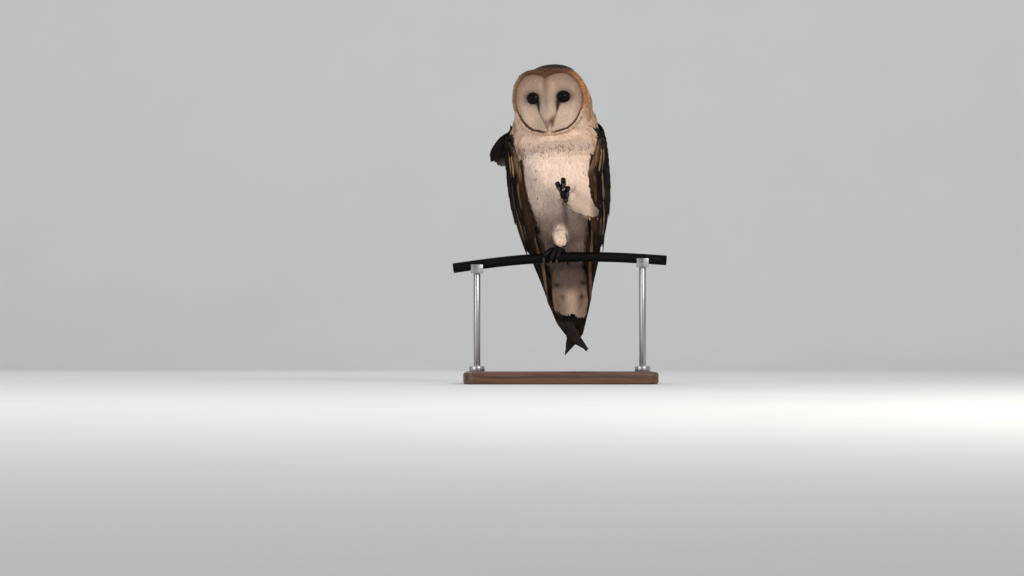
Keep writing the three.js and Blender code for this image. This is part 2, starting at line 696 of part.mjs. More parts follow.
/** Everything of the owl that follows its leaning long axis. */
function owlPieces(gripping) {
  const [left, right] = [wingPieces(1), wingPieces(-1)];
  const tuft = shoulderTuft();
  const wings = [left, right].flatMap((w) => [w.coverts, w.secondaries, w.primaries]);
  const { pieces, belowCollar } = headAndNeck([...wings, tuft]);

  const palm = limb([[4.5, -60, 66], [4, -63, 71], [3, -64, 75]], [5, 6, 4.6], 8, 5);
  const toes = eachDigit(leftToes, (points) => curledToe(points, 3.3));
  const shanks = {
    left: shank(legPoints.leftShank, [6.4, 8.6, 7.8, 5.6]),
    right: shank(legPoints.rightShank, [9, 10.6, 10.2, 6.6]),
  };
  const thighs = {
    left: thigh(legPoints.leftThigh, [12, 13.5, 9, 5.2]),
    right: thigh(legPoints.rightThigh, [9, 15, 13, 9.5]),
  };
  const raised = [palm, ...Object.values(toes).flatMap(({ toe, claw }) => [toe, claw])];
  const tail = tailFan();
  const thighLeft = roomFor(thighs.left, [shanks.left, ...wings]);
  const thighRight = roomFor(thighs.right, [shanks.right, ...wings]);
  const under = [tail, ...Object.values(shanks), ...Object.values(thighs), ...raised];
  const trunk = under.reduce((rest, g) => rest.subtract(solid(grown(g))), belowCollar);

  return [
    ...pieces,
    ['trunk', geometryOf(trunk), 'white_plumage'],
    ['tail', tail, 'flight_feather'],
    ['wing_left_coverts', left.coverts, 'grey_plumage'],
    ['wing_left_secondaries', left.secondaries, 'flight_feather'],
    ['wing_left_primaries', left.primaries, 'flight_feather'],
    ['wing_right_coverts', roomFor(right.coverts, [tuft]), 'grey_plumage'],
    ['wing_right_secondaries', right.secondaries, 'flight_feather'],
    ['wing_right_primaries', right.primaries, 'flight_feather'],
    ['wing_right_shoulder_tuft', tuft, 'grey_plumage'],
    ['leg_left_thigh', thighLeft, 'white_plumage'],
    ['leg_left_shank', roomFor(shanks.left, raised), 'white_plumage'],
    ['leg_right_thigh', thighRight, 'white_plumage'],
    ['leg_right_shank', roomFor(shanks.right, gripping), 'white_plumage'],
    ...footPieces('foot_left', palm, toes),
  ];
}

const part = new THREE.Group();
const owl = new THREE.Group();
owl.rotation.y = -LEAN;
owl.position.set(STANCE_X, 0, PERCH_HEIGHT);
const perch = new THREE.Group();
perch.position.z = PERCH_HEIGHT;
part.add(owl, perch);

const rightPalm = limb([[-6, 1, 11.2], [-1.5, 1, 12], [3, 1, 11.2]], [4.4, 5, 4.4], 8, 5);
const rightFoot = eachDigit(rightToes, grippingToe);
const gripping = [rightPalm, ...Object.values(rightFoot).map(({ toe }) => toe)];
const seenByOwl = gripping.map((g) => g.clone().translate(-STANCE_X, 0, 0).rotateY(LEAN));

for (const piece of owlPieces(seenByOwl)) owl.add(node(...piece));
for (const piece of footPieces('foot_right', rightPalm, rightFoot)) perch.add(node(...piece));
perch.add(node('perch', perchTube(PERCH_RADIUS), 'rod', 0.6, 0.8));
for (const piece of standPieces()) part.add(node(...piece));

export default part;
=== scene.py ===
import math

import bmesh
import bpy
import numpy as np
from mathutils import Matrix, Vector
from mathutils.bvhtree import BVHTree


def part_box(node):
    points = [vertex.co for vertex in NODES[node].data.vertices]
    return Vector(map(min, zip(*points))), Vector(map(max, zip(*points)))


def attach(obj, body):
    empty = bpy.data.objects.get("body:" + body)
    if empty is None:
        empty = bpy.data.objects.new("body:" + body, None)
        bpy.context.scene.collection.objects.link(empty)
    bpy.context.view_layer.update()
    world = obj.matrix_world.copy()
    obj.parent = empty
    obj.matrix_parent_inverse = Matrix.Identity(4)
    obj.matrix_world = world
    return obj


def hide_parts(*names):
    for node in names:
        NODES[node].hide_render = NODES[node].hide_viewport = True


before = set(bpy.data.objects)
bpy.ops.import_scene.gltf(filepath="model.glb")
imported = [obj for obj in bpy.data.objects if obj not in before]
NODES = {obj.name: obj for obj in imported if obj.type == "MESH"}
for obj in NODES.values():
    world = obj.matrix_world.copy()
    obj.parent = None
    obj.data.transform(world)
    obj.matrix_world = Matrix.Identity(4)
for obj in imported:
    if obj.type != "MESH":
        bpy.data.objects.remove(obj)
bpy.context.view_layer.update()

RNG = np.random.default_rng(20)
SCENE = bpy.context.scene
NO_TRIS = np.zeros((0, 3), int)

# ------------------------------------------------------------------------------------------------
# Frames, in millimetres. x is to the owl's left, y to its back, z up. The owl's own axis leans, and its
# head is turned, nods and tilts.

LEAN, TURN, NOD, TILT = (math.radians(a) for a in (4.9, 13, 8, 2.6))
PERCH_AT = np.array([6.5, 0.0, 148.0])  # top of the rod under the owl, in the frame shared with the CAD
HEAD_AT = np.array([2.8, -4.0, 183.2])  # middle of the head, in the owl's frame
EYE_AT = np.array([17.2, -27.6, 6.6])  # middle of the left eye, in the head's frame
EYE_RADIUS = 9.2
PLACE_SLACK = 0.0006  # metres by which an eye may miss its place


def turned(axis, angle):
    c, s = math.cos(angle), math.sin(angle)
    x, y = [(1, 2), (2, 0), (0, 1)][axis]
    m = np.eye(3)
    m[x, x], m[y, y], m[x, y], m[y, x] = c, c, -s, s
    return m


OWL = turned(1, -LEAN)
HEAD = turned(1, TILT) @ turned(2, -TURN) @ turned(0, NOD)


def to_world(p):
    return (np.asarray(p) @ OWL.T + PERCH_AT) / 1000


def to_owl(w):
    return (np.asarray(w) * 1000 - PERCH_AT) @ OWL


def from_head(h):
    return np.asarray(h) @ HEAD.T + HEAD_AT


def to_head(p):
    return (np.asarray(p) - HEAD_AT) @ HEAD


def check_place(node, place):
    lo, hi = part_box(node)
    off = np.abs(np.array((lo + hi) / 2) - to_world(place)).max()
    if off > PLACE_SLACK:
        raise SystemExit(f"{node} is {off * 1000:.1f} mm from where the head's frame puts it")


for side, eye_name in ((1, "eye_left"), (-1, "eye_right")):
    check_place(eye_name, from_head(EYE_AT * (side, 1, 1)))

# ------------------------------------------------------------------------------------------------
# Curves, blends and noise

HASH_PRIMES = np.array([73856093, 19349663, 83492791])
HASH_FACTOR = 1274126177
HASH_LEVELS = 65536


def curve(*pairs):
    """A smooth function through (at, value) pairs that never overshoots them."""
    at, value = np.array(sorted(pairs), float).T
    slope = np.diff(value) / np.diff(at)
    before, after = np.append(slope[:1], slope), np.append(slope, slope[-1:])
    product = before * after
    total = np.where(np.abs(before + after) < 1e-12, 1, before + after)
    tangent = np.where(product > 0, 2 * product / total, 0)

    def f(x):
        x = np.clip(x, at[0], at[-1])
        i = np.clip(np.searchsorted(at, x, side="right") - 1, 0, len(at) - 2)
        width = at[i + 1] - at[i]
        t = (x - at[i]) / width
        p, q, m, n = value[i], value[i + 1], tangent[i] * width, tangent[i + 1] * width
        return p + t * (m + t * (3 * (q - p) - 2 * m - n + t * (2 * (p - q) + m + n)))

    return f


def mix(a, b, t):
    return a + (b - a) * t


def smooth(x, low, high):
    t = np.clip((np.asarray(x, float) - low) / (high - low), 0, 1)
    return t * t * (3 - 2 * t)


def bell(x):
    return np.exp(-np.square(x))


def unit(v):
    return v / np.maximum(np.linalg.norm(v, axis=-1, keepdims=True), 1e-9)


def noise(p, size, seed=0):
    """Smooth random values from 0 to 1 that change over a distance."""
    q = np.asarray(p, float) / size + 31.7 * seed + 500
    i = np.floor(q).astype(np.int64)
    f = q - i
    f = f * f * (3 - 2 * f)
    out = np.zeros(q.shape[:-1])
    for corner in range(8):
        b = np.array([corner & 1, corner >> 1 & 1, corner >> 2 & 1])
        n = (i + b) @ HASH_PRIMES
        n = ((n ^ (n >> 13)) * HASH_FACTOR) & 0x7FFFFFFF
        out += (n % HASH_LEVELS) / (HASH_LEVELS - 1) * np.prod(np.where(b, f, 1 - f), axis=-1)
    return out


def srgb(r, g, b):
    return np.array([r, g, b]) / 255


def linear(c):
    """A display colour as light."""
    c = np.clip(c, 0, 1)
    return np.where(c <= 0.04045, c / 12.92, ((c + 0.055) / 1.055) ** 2.4)


def layered(base, *layers):
    """Colours painted over each other: each layer is (colour, amount)."""
    for colour, amount in layers:
        base = mix(base, np.asarray(colour), np.asarray(amount)[..., None])
    return base


def painted(points, colour, *layers):
    """A colour for each point, with layers over it."""
    return layered(np.broadcast_to(colour, points.shape), *layers)


def uneven(count, spread):
    """A random brightness near 1 for each feather of a grid."""
    return 1 + RNG.normal(0, spread, (count, 1, 1, 1))


# ------------------------------------------------------------------------------------------------
# Colours of the plumage

WHITE = srgb(234, 214, 198)
PEACH = srgb(231, 202, 182)
CREAM = srgb(214, 184, 160)
ASH = srgb(160, 140, 128)
GOLD = srgb(168, 122, 82)
ORANGE = srgb(146, 92, 58)
RUST = srgb(104, 66, 45)
BROWN = srgb(68, 46, 35)
DARK = srgb(38, 29, 24)
GILT = srgb(172, 134, 92)
VEIL_GREY = srgb(118, 110, 110)
DOT = srgb(48, 40, 38)
# colour of the painted light on the standing leg and the body below it
SUNLIT = srgb(244, 216, 196)

# ------------------------------------------------------------------------------------------------
# The face, in the head's frame: x to the owl's left, y to the back, z up

# radius of the face by the angle above the level of its middle, and the crest between the eyes by height
heart_radius = curve((-90, 33.2), (-68, 34), (-55, 35.8), (-38, 36.8), (-18, 37.6), (0, 39.8), (13, 40.6),
                     (33, 42.4), (48, 42.2), (57, 40.8), (66, 38.4), (77, 34.8), (90, 30.8))
crest_height = curve((34, 1), (22, 3.4), (8, 5.6), (-10, 9), (-20, 5), (-27, 1))
crest_width = curve((34, 3.5), (20, 4.5), (6, 7), (-8, 9), (-20, 6.5), (-30, 5))
FACE_FRONT = -40


def face_depth(x, z):
    """How far back the face lies: bowed as a whole, dished round each eye, with a crest between them."""
    bow = 0.0062 * x * x + 0.002 * z * z
    dish = 4.5 * bell(np.hypot(np.abs(x) - 19, z - 4) / 20)
    return FACE_FRONT + bow + dish - crest_height(z) * bell(x / crest_width(z))


def elevation(x, z):
    """The angle above the level of the face's middle, in degrees."""
    return np.degrees(np.arctan2(z, np.abs(x)))


def face_share(h):
    """0 in the middle of the face, 1 at its heart-shaped edge."""
    return np.hypot(h[..., 0], h[..., 2]) / heart_radius(elevation(h[..., 0], h[..., 2]))


# ------------------------------------------------------------------------------------------------
# Meshes


def linked(name, mesh):
    """A new object of the scene."""
    ob = bpy.data.objects.new(name, mesh)
    SCENE.collection.objects.link(ob)
    return ob


def mesh_piece(name, verts, quads, tris, material, uvs=None, colours=None, rim=None):
    """A mesh object from arrays, in metres. uvs, colours and rim are per vertex; rim edges are sharp."""
    me = bpy.data.meshes.new(name)
    loops = np.concatenate([np.asarray(quads, np.int32).ravel(), np.asarray(tris, np.int32).ravel()])
    nq, nt = len(quads), len(tris)
    starts = np.concatenate([np.arange(nq) * 4, nq * 4 + np.arange(nt) * 3]).astype(np.int32)
    me.vertices.add(len(verts))
    me.vertices.foreach_set("co", np.asarray(verts, np.float32).ravel())
    me.loops.add(len(loops))
    me.loops.foreach_set("vertex_index", loops)
    me.polygons.add(nq + nt)
    me.polygons.foreach_set("loop_start", starts)
    me.update(calc_edges=True)
    me.polygons.foreach_set("use_smooth", np.full(nq + nt, True))
    for layer, uv in (uvs or {}).items():
        made = me.uv_layers.new(name=layer)
        made.uv.foreach_set("vector", np.asarray(uv, np.float32)[loops].ravel())
    if colours is not None:
        rgba = np.ones((len(verts), 4), np.float32)
        rgba[:, :3] = linear(colours)
        me.color_attributes.new("Tint", "FLOAT_COLOR", "POINT").data.foreach_set("color", rgba.ravel())
    if rim is not None:
        ends = np.zeros(len(me.edges) * 2, np.int32)
        me.edges.foreach_get("vertices", ends)
        sharp = me.attributes.new("sharp_edge", "BOOLEAN", "EDGE")
        sharp.data.foreach_set("value", rim[ends.reshape(-1, 2)].all(1))
    me.materials.append(material)
    return linked(name, me)


def arrays_of(me):
    """A mesh's points."""
    v = np.zeros(len(me.vertices) * 3, np.float32)
    me.vertices.foreach_get("co", v)
    return v.reshape(-1, 3).astype(float)


def tree_of(points, faces):
    """A search tree over a surface."""
    return BVHTree.FromPolygons([Vector(p) for p in points.tolist()], faces)


def welded(node):
    """A CAD node as one closed surface."""
    bm = bmesh.new()
    bm.from_mesh(NODES[node].data)
    bmesh.ops.remove_doubles(bm, verts=bm.verts, dist=2e-6)
    bmesh.ops.recalc_face_normals(bm, faces=bm.faces)
    return bm


def mesh_of(bm, name):
    """Turns a bmesh into a mesh, and frees it."""
    me = bpy.data.meshes.new(name)
    bm.to_mesh(me)
    bm.free()
    return me


def evaluated(ob):
    """An object's mesh with its modifiers applied."""
    return bpy.data.meshes.new_from_object(ob.evaluated_get(bpy.context.evaluated_depsgraph_get()))


def stands_for(ob, node, material):
    """Finishes an object that takes the place of a CAD node."""
    ob.data.materials.clear()
    ob.data.materials.append(material)
    ob.data.polygons.foreach_set("use_smooth", np.full(len(ob.data.polygons), True))
    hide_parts(node)
    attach(ob, "root")


def refined(node, name, material, sharp, grow=0.0):
    """A finer, rounder copy of a CAD node: edges over sharp degrees stay, and grow swells it, in metres."""
    bm = welded(node)
    bmesh.ops.dissolve_limit(bm, angle_limit=math.radians(0.5), verts=bm.verts, edges=bm.edges)
    bmesh.ops.join_triangles(bm, faces=[f for f in bm.faces if len(f.verts) == 3],
                             angle_face_threshold=math.radians(40), angle_shape_threshold=math.radians(60))
    crease = bm.edges.layers.float.new("crease_edge")
    for e in bm.edges:
        if len(e.link_faces) == 2 and e.calc_face_angle() > math.radians(sharp):
            e[crease] = 1.0
    ob = linked(name, mesh_of(bm, name))
    mod = ob.modifiers.new("round", "SUBSURF")
    mod.levels = mod.render_levels = 2
    fine = evaluated(ob)
    ob.modifiers.clear()
    ob.data = fine
    stands_for(ob, node, material)
    for v in fine.vertices:
        v.co += v.normal * grow


# ------------------------------------------------------------------------------------------------
# Materials


class Shader:
    """A small helper for a material of one Principled shader."""

    def __init__(self, name, roughness=0.8, **fixed):
        self.material = bpy.data.materials.new(name)
        self.material.use_nodes = True
        self.tree = self.material.node_tree
        self.bsdf = self.tree.nodes["Principled BSDF"]
        self.bsdf.inputs["Roughness"].default_value = roughness
        for key, value in fixed.items():
            self.bsdf.inputs[key.replace("_", " ")].default_value = value

    def node(self, kind, inputs=(), **settings):
        """A node with its settings; inputs are numbers or the sockets that feed them."""
        n = self.tree.nodes.new("ShaderNode" + kind)
        for key, value in settings.items():
            setattr(n, key, value)
        for key, value in dict(inputs).items():
            if isinstance(value, bpy.types.NodeSocket):
                self.tree.links.new(value, n.inputs[key])
            else:
                n.inputs[key].default_value = value
        return n

    def place(self):
        """Where on the object a point lies."""
        return self.node("TexCoord").outputs["Object"]

    def link(self, socket, to):
        self.tree.links.new(socket, self.bsdf.inputs[to])

    def math(self, operation, *values):
        return self.node("Math", enumerate(values), operation=operation).outputs[0]

    def colour(self, factor, a, b):
        """The base colour lies between two."""
        self.link(self.mixed(factor, a, b), "Base Color")

    def mixed(self, factor, a, b):
        """A colour between two, each a display colour or a socket."""
        a, b = (ink if isinstance(ink, bpy.types.NodeSocket) else (*linear(np.asarray(ink)), 1)
                for ink in (a, b))
        return self.node("Mix", {0: factor, 6: a, 7: b}, data_type="RGBA").outputs[2]

    def tinted(self, shade):
        """The base colour is the painted tint times a shade."""
        tint = self.node("VertexColor", layer_name="Tint").outputs[0]
        lit = self.node("VectorMath", {0: tint, "Scale": shade}, operation="SCALE")
        self.link(lit.outputs[0], "Base Color")

    def noise(self, scale, detail=3.0, rough=0.55, spread=None):
        """Noise over the object, stretched by a scale for each axis."""
        vector = self.place()
        if spread:
            vector = self.node("Mapping", {"Vector": vector, "Scale": spread}).outputs[0]
        inputs = {"Vector": vector, "Scale": scale, "Detail": detail, "Roughness": rough}
        return self.node("TexNoise", inputs).outputs[0]

    def band(self, value, low, high, to_low=0.0, to_high=1.0):
        """Stretches the values between low and high over another range."""
        inputs = {"Value": value, "From Min": low, "From Max": high, "To Min": to_low, "To Max": to_high}
        return self.node("MapRange", inputs, clamp=True).outputs[0]

    def bump(self, height, strength, distance):
        n = self.node("Bump", {"Height": height, "Strength": strength, "Distance": distance})
        self.link(n.outputs[0], "Normal")

    def vary_roughness(self, low, high, scale):
        self.link(self.band(self.noise(scale), 0.3, 0.7, low, high), "Roughness")


BARB_SLANT, BARB_LINES = 0.9, 62.0  # how steeply barbs run back from the shaft, and how close they lie


def plumage(name, barbs, mottle, roughness, sheen, shine):
    """Feathers: their painted tint, the fine slant of the barbs, and uneven, soft shading."""
    m = Shader(name, Specular_IOR_Level=shine, Sheen_Weight=sheen, Sheen_Roughness=0.5)
    vane = m.node("UVMap", uv_map="Vane").outputs[0]
    across, along_, _ = m.node("SeparateXYZ", {"Vector": vane}).outputs
    slant = m.math("ADD", m.math("MULTIPLY", m.math("ABSOLUTE", across), BARB_SLANT), along_)
    lines = m.math("SINE", m.math("MULTIPLY", slant, BARB_LINES))
    patches = m.band(m.noise(420, 3), 0.3, 0.7, -1.0, 1.0)
    shade = m.math("ADD", m.math("MULTIPLY", lines, 0.1 * barbs), m.math("MULTIPLY", patches, mottle))
    m.tinted(m.math("ADD", shade, 1.0))
    m.bump(m.math("ADD", m.math("MULTIPLY", lines, 0.5), patches), barbs, 0.0003)
    m.vary_roughness(*roughness, 300)
    return m.material


BODY_FEATHER = plumage("body_feather", 0.18, 0.05, (0.72, 0.92), sheen=0.02, shine=0.15)
WING_FEATHER = plumage("wing_feather", 0.4, 0.16, (0.7, 0.9), sheen=0.0, shine=0.06)


def skin_material():
    m = Shader("skin", Specular_IOR_Level=0.2)
    m.tinted(m.band(m.noise(500, 4), 0.3, 0.7, 0.86, 1.06))
    m.bump(m.noise(900, 4), 0.5, 0.0004)
    m.vary_roughness(0.75, 0.92, 200)
    return m.material


# ------------------------------------------------------------------------------------------------
# The skin: one closed surface under the whole coat

VOXEL = 0.0015
SEAM_COVER = 0.0004  # how far each node is swollen to close the seams between them
SHRINK, SWELL = 0.6, -0.62  # the two strokes of a smoothing that keeps the volume
# by region, in this order: how strongly the skin is smoothed, and how deep it lies under the solids
SMOOTHING, BODY_SMOOTHING = {"shank": 0.35, "facial": 0.4}, 1.0
COAT_DEPTH, BODY_DEPTH = {"shank": 1.0, "facial": 1.4, "head": 1.8, "thigh": 2.0}, 2.2


def united(nodes):
    """One quad surface round several CAD nodes, in metres."""
    bm = bmesh.new()
    for node in nodes:
        part = welded(node)
        part.normal_update()
        for v in part.verts:
            v.co += v.normal * SEAM_COVER
        me = mesh_of(part, "part")
        bm.from_mesh(me)
        bpy.data.meshes.remove(me)
    ob = linked("union", mesh_of(bm, "union"))
    mod = ob.modifiers.new("one", "REMESH")
    mod.mode, mod.voxel_size, mod.adaptivity = "VOXEL", VOXEL, 0.0
    made = evaluated(ob)
    bpy.data.objects.remove(ob)
    quads = np.zeros(len(made.polygons) * 4, np.int32)
    made.polygons.foreach_get("vertices", quads)
    return arrays_of(made), quads.reshape(-1, 4)


def largest_shell(points, quads):
    """The biggest connected part of a quad surface."""
    label = np.arange(len(points))
    before = None
    while before is None or (label != before).any():
        lowest = label[quads].min(1)
        before = label.copy()
        for k in range(4):
            np.minimum.at(label, quads[:, k], lowest)
        label = label[label]
    keep = label == np.bincount(label).argmax()
    index = np.cumsum(keep) - 1
    return points[keep], index[quads[keep[quads[:, 0]]]]


def edges_of(quads):
    """Each edge once, as two point numbers."""
    sides = np.sort(np.concatenate([quads[:, [k, (k + 1) % 4]] for k in range(4)]), axis=1)
    return np.unique(sides, axis=0)


def relaxed(points, edges, amount, rounds):
    """Smoothing that keeps the volume; amount is per point."""
    n = len(points)
    a, b = edges.T
    degree = np.bincount(a, minlength=n) + np.bincount(b, minlength=n)
    for step in range(rounds * 2):
        mean = np.stack([np.bincount(a, points[b, k], n) + np.bincount(b, points[a, k], n)
                         for k in range(3)], 1)
        pull = amount * (SWELL if step % 2 else SHRINK)
        points = points + (mean / degree[:, None] - points) * pull[:, None]
    return points


def normals_of(points, quads):
    """The surface's direction at each point."""
    p = points[quads]
    face = np.cross(p[:, 2] - p[:, 0], p[:, 3] - p[:, 1])
    out = np.zeros_like(points)
    for k in range(4):
        for axis in range(3):
            out[:, axis] += np.bincount(quads[:, k], face[:, axis], len(points))
    return unit(out)


WING_NODES = [f"wing_{s}_{t}" for s in ("left", "right") for t in ("coverts", "secondaries")]
LEG_NODES = [f"leg_{s}_{t}" for s in ("left", "right") for t in ("thigh", "shank")]
FLESH = ["head", "facial_disc", "facial_ruff", "neck", "trunk", *LEG_NODES, *WING_NODES]


class Labels:
    """Which CAD node lies nearest to a point of the owl's frame."""

    def __init__(self, nodes):
        verts, faces, self.of_face = [], [], []
        for i, node in enumerate(nodes):
            me = NODES[node].data
            me.calc_loop_triangles()
            start = len(verts)
            verts.extend(map(tuple, to_owl(arrays_of(me))))
            tri = np.zeros(len(me.loop_triangles) * 3, np.int32)
            me.loop_triangles.foreach_get("vertices", tri)
            faces.extend(map(tuple, (tri.reshape(-1, 3) + start).tolist()))
            self.of_face.extend([i] * len(me.loop_triangles))
        self.tree = BVHTree.FromPolygons(verts, faces)

    def __call__(self, points):
        find = self.tree.find_nearest
        return np.array([self.of_face[find(Vector(p))[2]] for p in points.tolist()])


region_of = Labels(FLESH)
REGION = {name: i for i, name in enumerate(FLESH)}


def is_region(labels, *words):
    """Which labels stand for a node with one of the words in its name."""
    wanted = [i for name, i in REGION.items() if any(w in name for w in words)]
    return np.isin(labels, wanted)


def by_region(region, values, other):
    """A value for each point by the first word that its region's name holds."""
    return np.select([is_region(region, word) for word in values], list(values.values()), other)


def make_skin():
    """The united nodes, smoothed, sunk by the coat's depth, and shaped to the face."""
    points, quads = united(FLESH + ["eye_left", "eye_right"])
    points, quads = largest_shell(to_owl(points), quads)
    edges = edges_of(quads)
    region = region_of(points)
    points = relaxed(points, edges, by_region(region, SMOOTHING, BODY_SMOOTHING), 16)
    depth = by_region(region, COAT_DEPTH, BODY_DEPTH)
    depth = relaxed(np.repeat(depth[:, None], 3, 1), edges, np.ones(len(points)), 6)[:, 0]
    points = points - normals_of(points, quads) * depth[:, None]
    h = to_head(points)
    share = face_share(h)
    on_face = (1 - smooth(share, 0.93, 1.02)) * (h[:, 1] < -18)
    h[:, 1] = mix(h[:, 1], face_depth(h[:, 0], h[:, 2]) + 1.0, on_face)
    return relaxed(from_head(h), edges, np.where(on_face > 0, 0.0, 0.5), 3), quads


SKIN, SKIN_QUADS = make_skin()
SKIN_TREE = tree_of(SKIN, SKIN_QUADS.tolist())
SKIN_NORMALS = unit(normals_of(SKIN, SKIN_QUADS)[SKIN_QUADS].sum(1))  # one for each quad


def on_skin(points):
    """The nearest skin points and their normals."""
    shape = points.shape
    flat = points.reshape(-1, 3)
    found = [SKIN_TREE.find_nearest(Vector(p)) for p in flat.tolist()]
    spots = np.array([f[0] for f in found])
    return spots.reshape(shape), SKIN_NORMALS[[f[2] for f in found]].reshape(shape)


# ------------------------------------------------------------------------------------------------
# Feathers. A feather is a thin closed vane: a grid of points along and across its upper side, and a flat
# underside. Its tint is painted on the grid. Two UV maps: Vane for the barbs, OFBake for baking colours.


def body_wrap(roots):
    """The body unrolled about its own upright axis."""
    return np.arctan2(roots[:, 0], -roots[:, 1]), roots[:, 2]


def head_wrap(roots):
    """The head unrolled by longitude and latitude about its middle."""
    x, y, z = (to_head(roots) + (0, 5, 0)).T
    return np.arctan2(x, -y), np.arctan2(z, np.hypot(x, y))


def leg_wrap(roots):
    """Each leg unrolled about its own length, side by side."""
    u, v = np.zeros(len(roots)), np.zeros(len(roots))
    left = roots[:, 0] - 0.25 * roots[:, 2] > -6
    for k, here in enumerate((left, ~left)):
        q = roots[here] - roots[here].mean(0)
        axis = np.linalg.svd(q, full_matrices=False)[2]
        u[here], v[here] = np.arctan2(q @ axis[1], q @ axis[2]) + 2.2 * np.pi * k, q @ axis[0]
    return u, v


BAKE_PATCH = 0.003  # size of a feather's patch in OFBake, and the empty margin round them all
BAKE_MARGIN = 0.01
THROWS = 5  # random points thrown for each feather
CELL_KEYS = np.array([1, 4096, 4096 * 4096])


def bake_patches(roots, wrap, t, v):
    """A small patch for each feather, at its root's place on an unrolled surface."""
    span = 1 - 2 * BAKE_MARGIN
    u0, v0 = (BAKE_MARGIN + span * (w - w.min()) / np.ptp(w) for w in wrap(roots))
    u0, v0 = u0[:, None, None], v0[:, None, None]
    return u0 + BAKE_PATCH / 2 * v + 0 * t, v0 + BAKE_PATCH * (t - 0.5) + 0 * v


def bake_cells(count, t, v):
    """A cell of its own for each feather, side by side, for long vanes with markings along them."""
    wide = int(np.ceil(np.sqrt(count)))
    high = int(np.ceil(count / wide))
    row, column = np.divmod(np.arange(count)[:, None, None], wide)
    return (column + 0.5 + 0.44 * v + 0 * t) / wide, (row + 0.06 + 0.88 * t + 0 * v) / high


def vane_map(grid):
    """Centimetres across and along each feather, shifted a little from one to the next."""
    n, _, k, _ = grid.shape
    middle = grid[:, :, k // 2]
    step = np.linalg.norm(np.diff(middle, axis=1), axis=-1)
    along_ = np.concatenate([np.zeros((n, 1)), np.cumsum(step, 1)], 1)
    width = np.linalg.norm(grid - middle[:, :, None], axis=-1) * np.sign(np.arange(k) - k // 2)
    shift = np.arange(n)[:, None, None] * 0.37 % 5
    return width / 10, np.broadcast_to(along_[..., None], width.shape) / 10 + shift


def feather_piece(name, grid, ups, colours, material=BODY_FEATHER, roots=None, wrap=body_wrap):
    """Joins feathers into one mesh. grid is (count, stations, across, 3) in the owl's frame, and ups the way
    their upper sides look at each station. In OFBake, each lies at its root, or without roots in a cell."""
    n, s, k, _ = grid.shape
    index = np.arange(n * s * k).reshape(n, s, k)
    top = np.stack([index[:, :-1, :-1], index[:, :-1, 1:], index[:, 1:, 1:], index[:, 1:, :-1]], -1)
    under = np.stack([index[:, :-1, -1], index[:, :-1, 0], index[:, 1:, 0], index[:, 1:, -1]], -1)
    quads = np.concatenate([top.reshape(-1, 4), under.reshape(-1, 4)])
    fans = []
    for j in range(1, k - 1):
        fans.append(np.stack([index[:, 0, 0], index[:, 0, j + 1], index[:, 0, j]], -1))
        fans.append(np.stack([index[:, -1, 0], index[:, -1, j], index[:, -1, j + 1]], -1))
    tris = np.concatenate(fans)
    # faces that would look into the skin are turned round
    here, before = grid[:, s // 2], grid[:, s // 2 - 1]
    looks = np.cross(here[:, -1] - here[:, 0], here[:, 0] - before[:, 0])
    flipped = np.einsum("ij,ij->i", looks, ups[:, s // 2]) < 0
    quads_flipped = np.concatenate([np.repeat(flipped, (s - 1) * (k - 1)), np.repeat(flipped, s - 1)])
    tris_flipped = np.tile(flipped, len(fans))
    quads[quads_flipped] = quads[quads_flipped][:, ::-1]
    tris[tris_flipped] = tris[tris_flipped][:, ::-1]
    rim = np.ones((n, s, k), bool)
    rim[:, 1:-1, 1:-1] = False
    t, v = np.linspace(0, 1, s)[:, None], np.linspace(-1, 1, k)[None]
    bake = bake_cells(n, t, v) if roots is None else bake_patches(roots, wrap, t, v)
    uvs = {"Vane": vane_map(grid), "OFBake": bake}
    uvs = {layer: np.stack(pair, -1).reshape(-1, 2) for layer, pair in uvs.items()}
    ob = mesh_piece(name, to_world(grid.reshape(-1, 3)), quads, tris, material, uvs, colours.reshape(-1, 3),
                    rim.ravel())
    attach(ob, "root")
    return ob


def scattered(spacing, keep):
    """Root points spread over the skin where keep(points, regions) holds: one in each cell of a grid."""
    p = SKIN[SKIN_QUADS]
    area = np.linalg.norm(np.cross(p[:, 2] - p[:, 0], p[:, 3] - p[:, 1]), axis=1) / 2
    count = int(area.sum() / spacing ** 2 * THROWS)
    face = RNG.choice(len(area), count, p=area / area.sum())
    a, b = RNG.random((2, count, 1))
    q = p[face]
    spots = mix(mix(q[:, 0], q[:, 1], a), mix(q[:, 3], q[:, 2], a), b)
    cell = np.floor(spots / spacing).astype(np.int64) @ CELL_KEYS
    _, first = np.unique(cell, return_index=True)
    spots, normal = spots[first], SKIN_NORMALS[face[first]]
    region = region_of(spots)
    good = keep(spots, region)
    return spots[good], normal[good], region[good]


# the way feathers point along each part of a leg
LIMBS = {
    "leg_left_thigh": (0.5, -0.25, -0.82), "leg_left_shank": (-0.85, -0.3, 0.35),
    "leg_right_thigh": (0.2, 0.1, -1), "leg_right_shank": (-0.25, -0.1, -1),
}
CHIN = (0, -46, -4)  # in the head's frame; the head's feathers point away from it
NECK_LOW, NECK_HIGH = 138, 158  # heights between which the body's lie turns into the head's
TURN_UP, HUG, FLATTEN = 0.65, 0.8, 0.6  # how closely a feather follows the skin from step to step


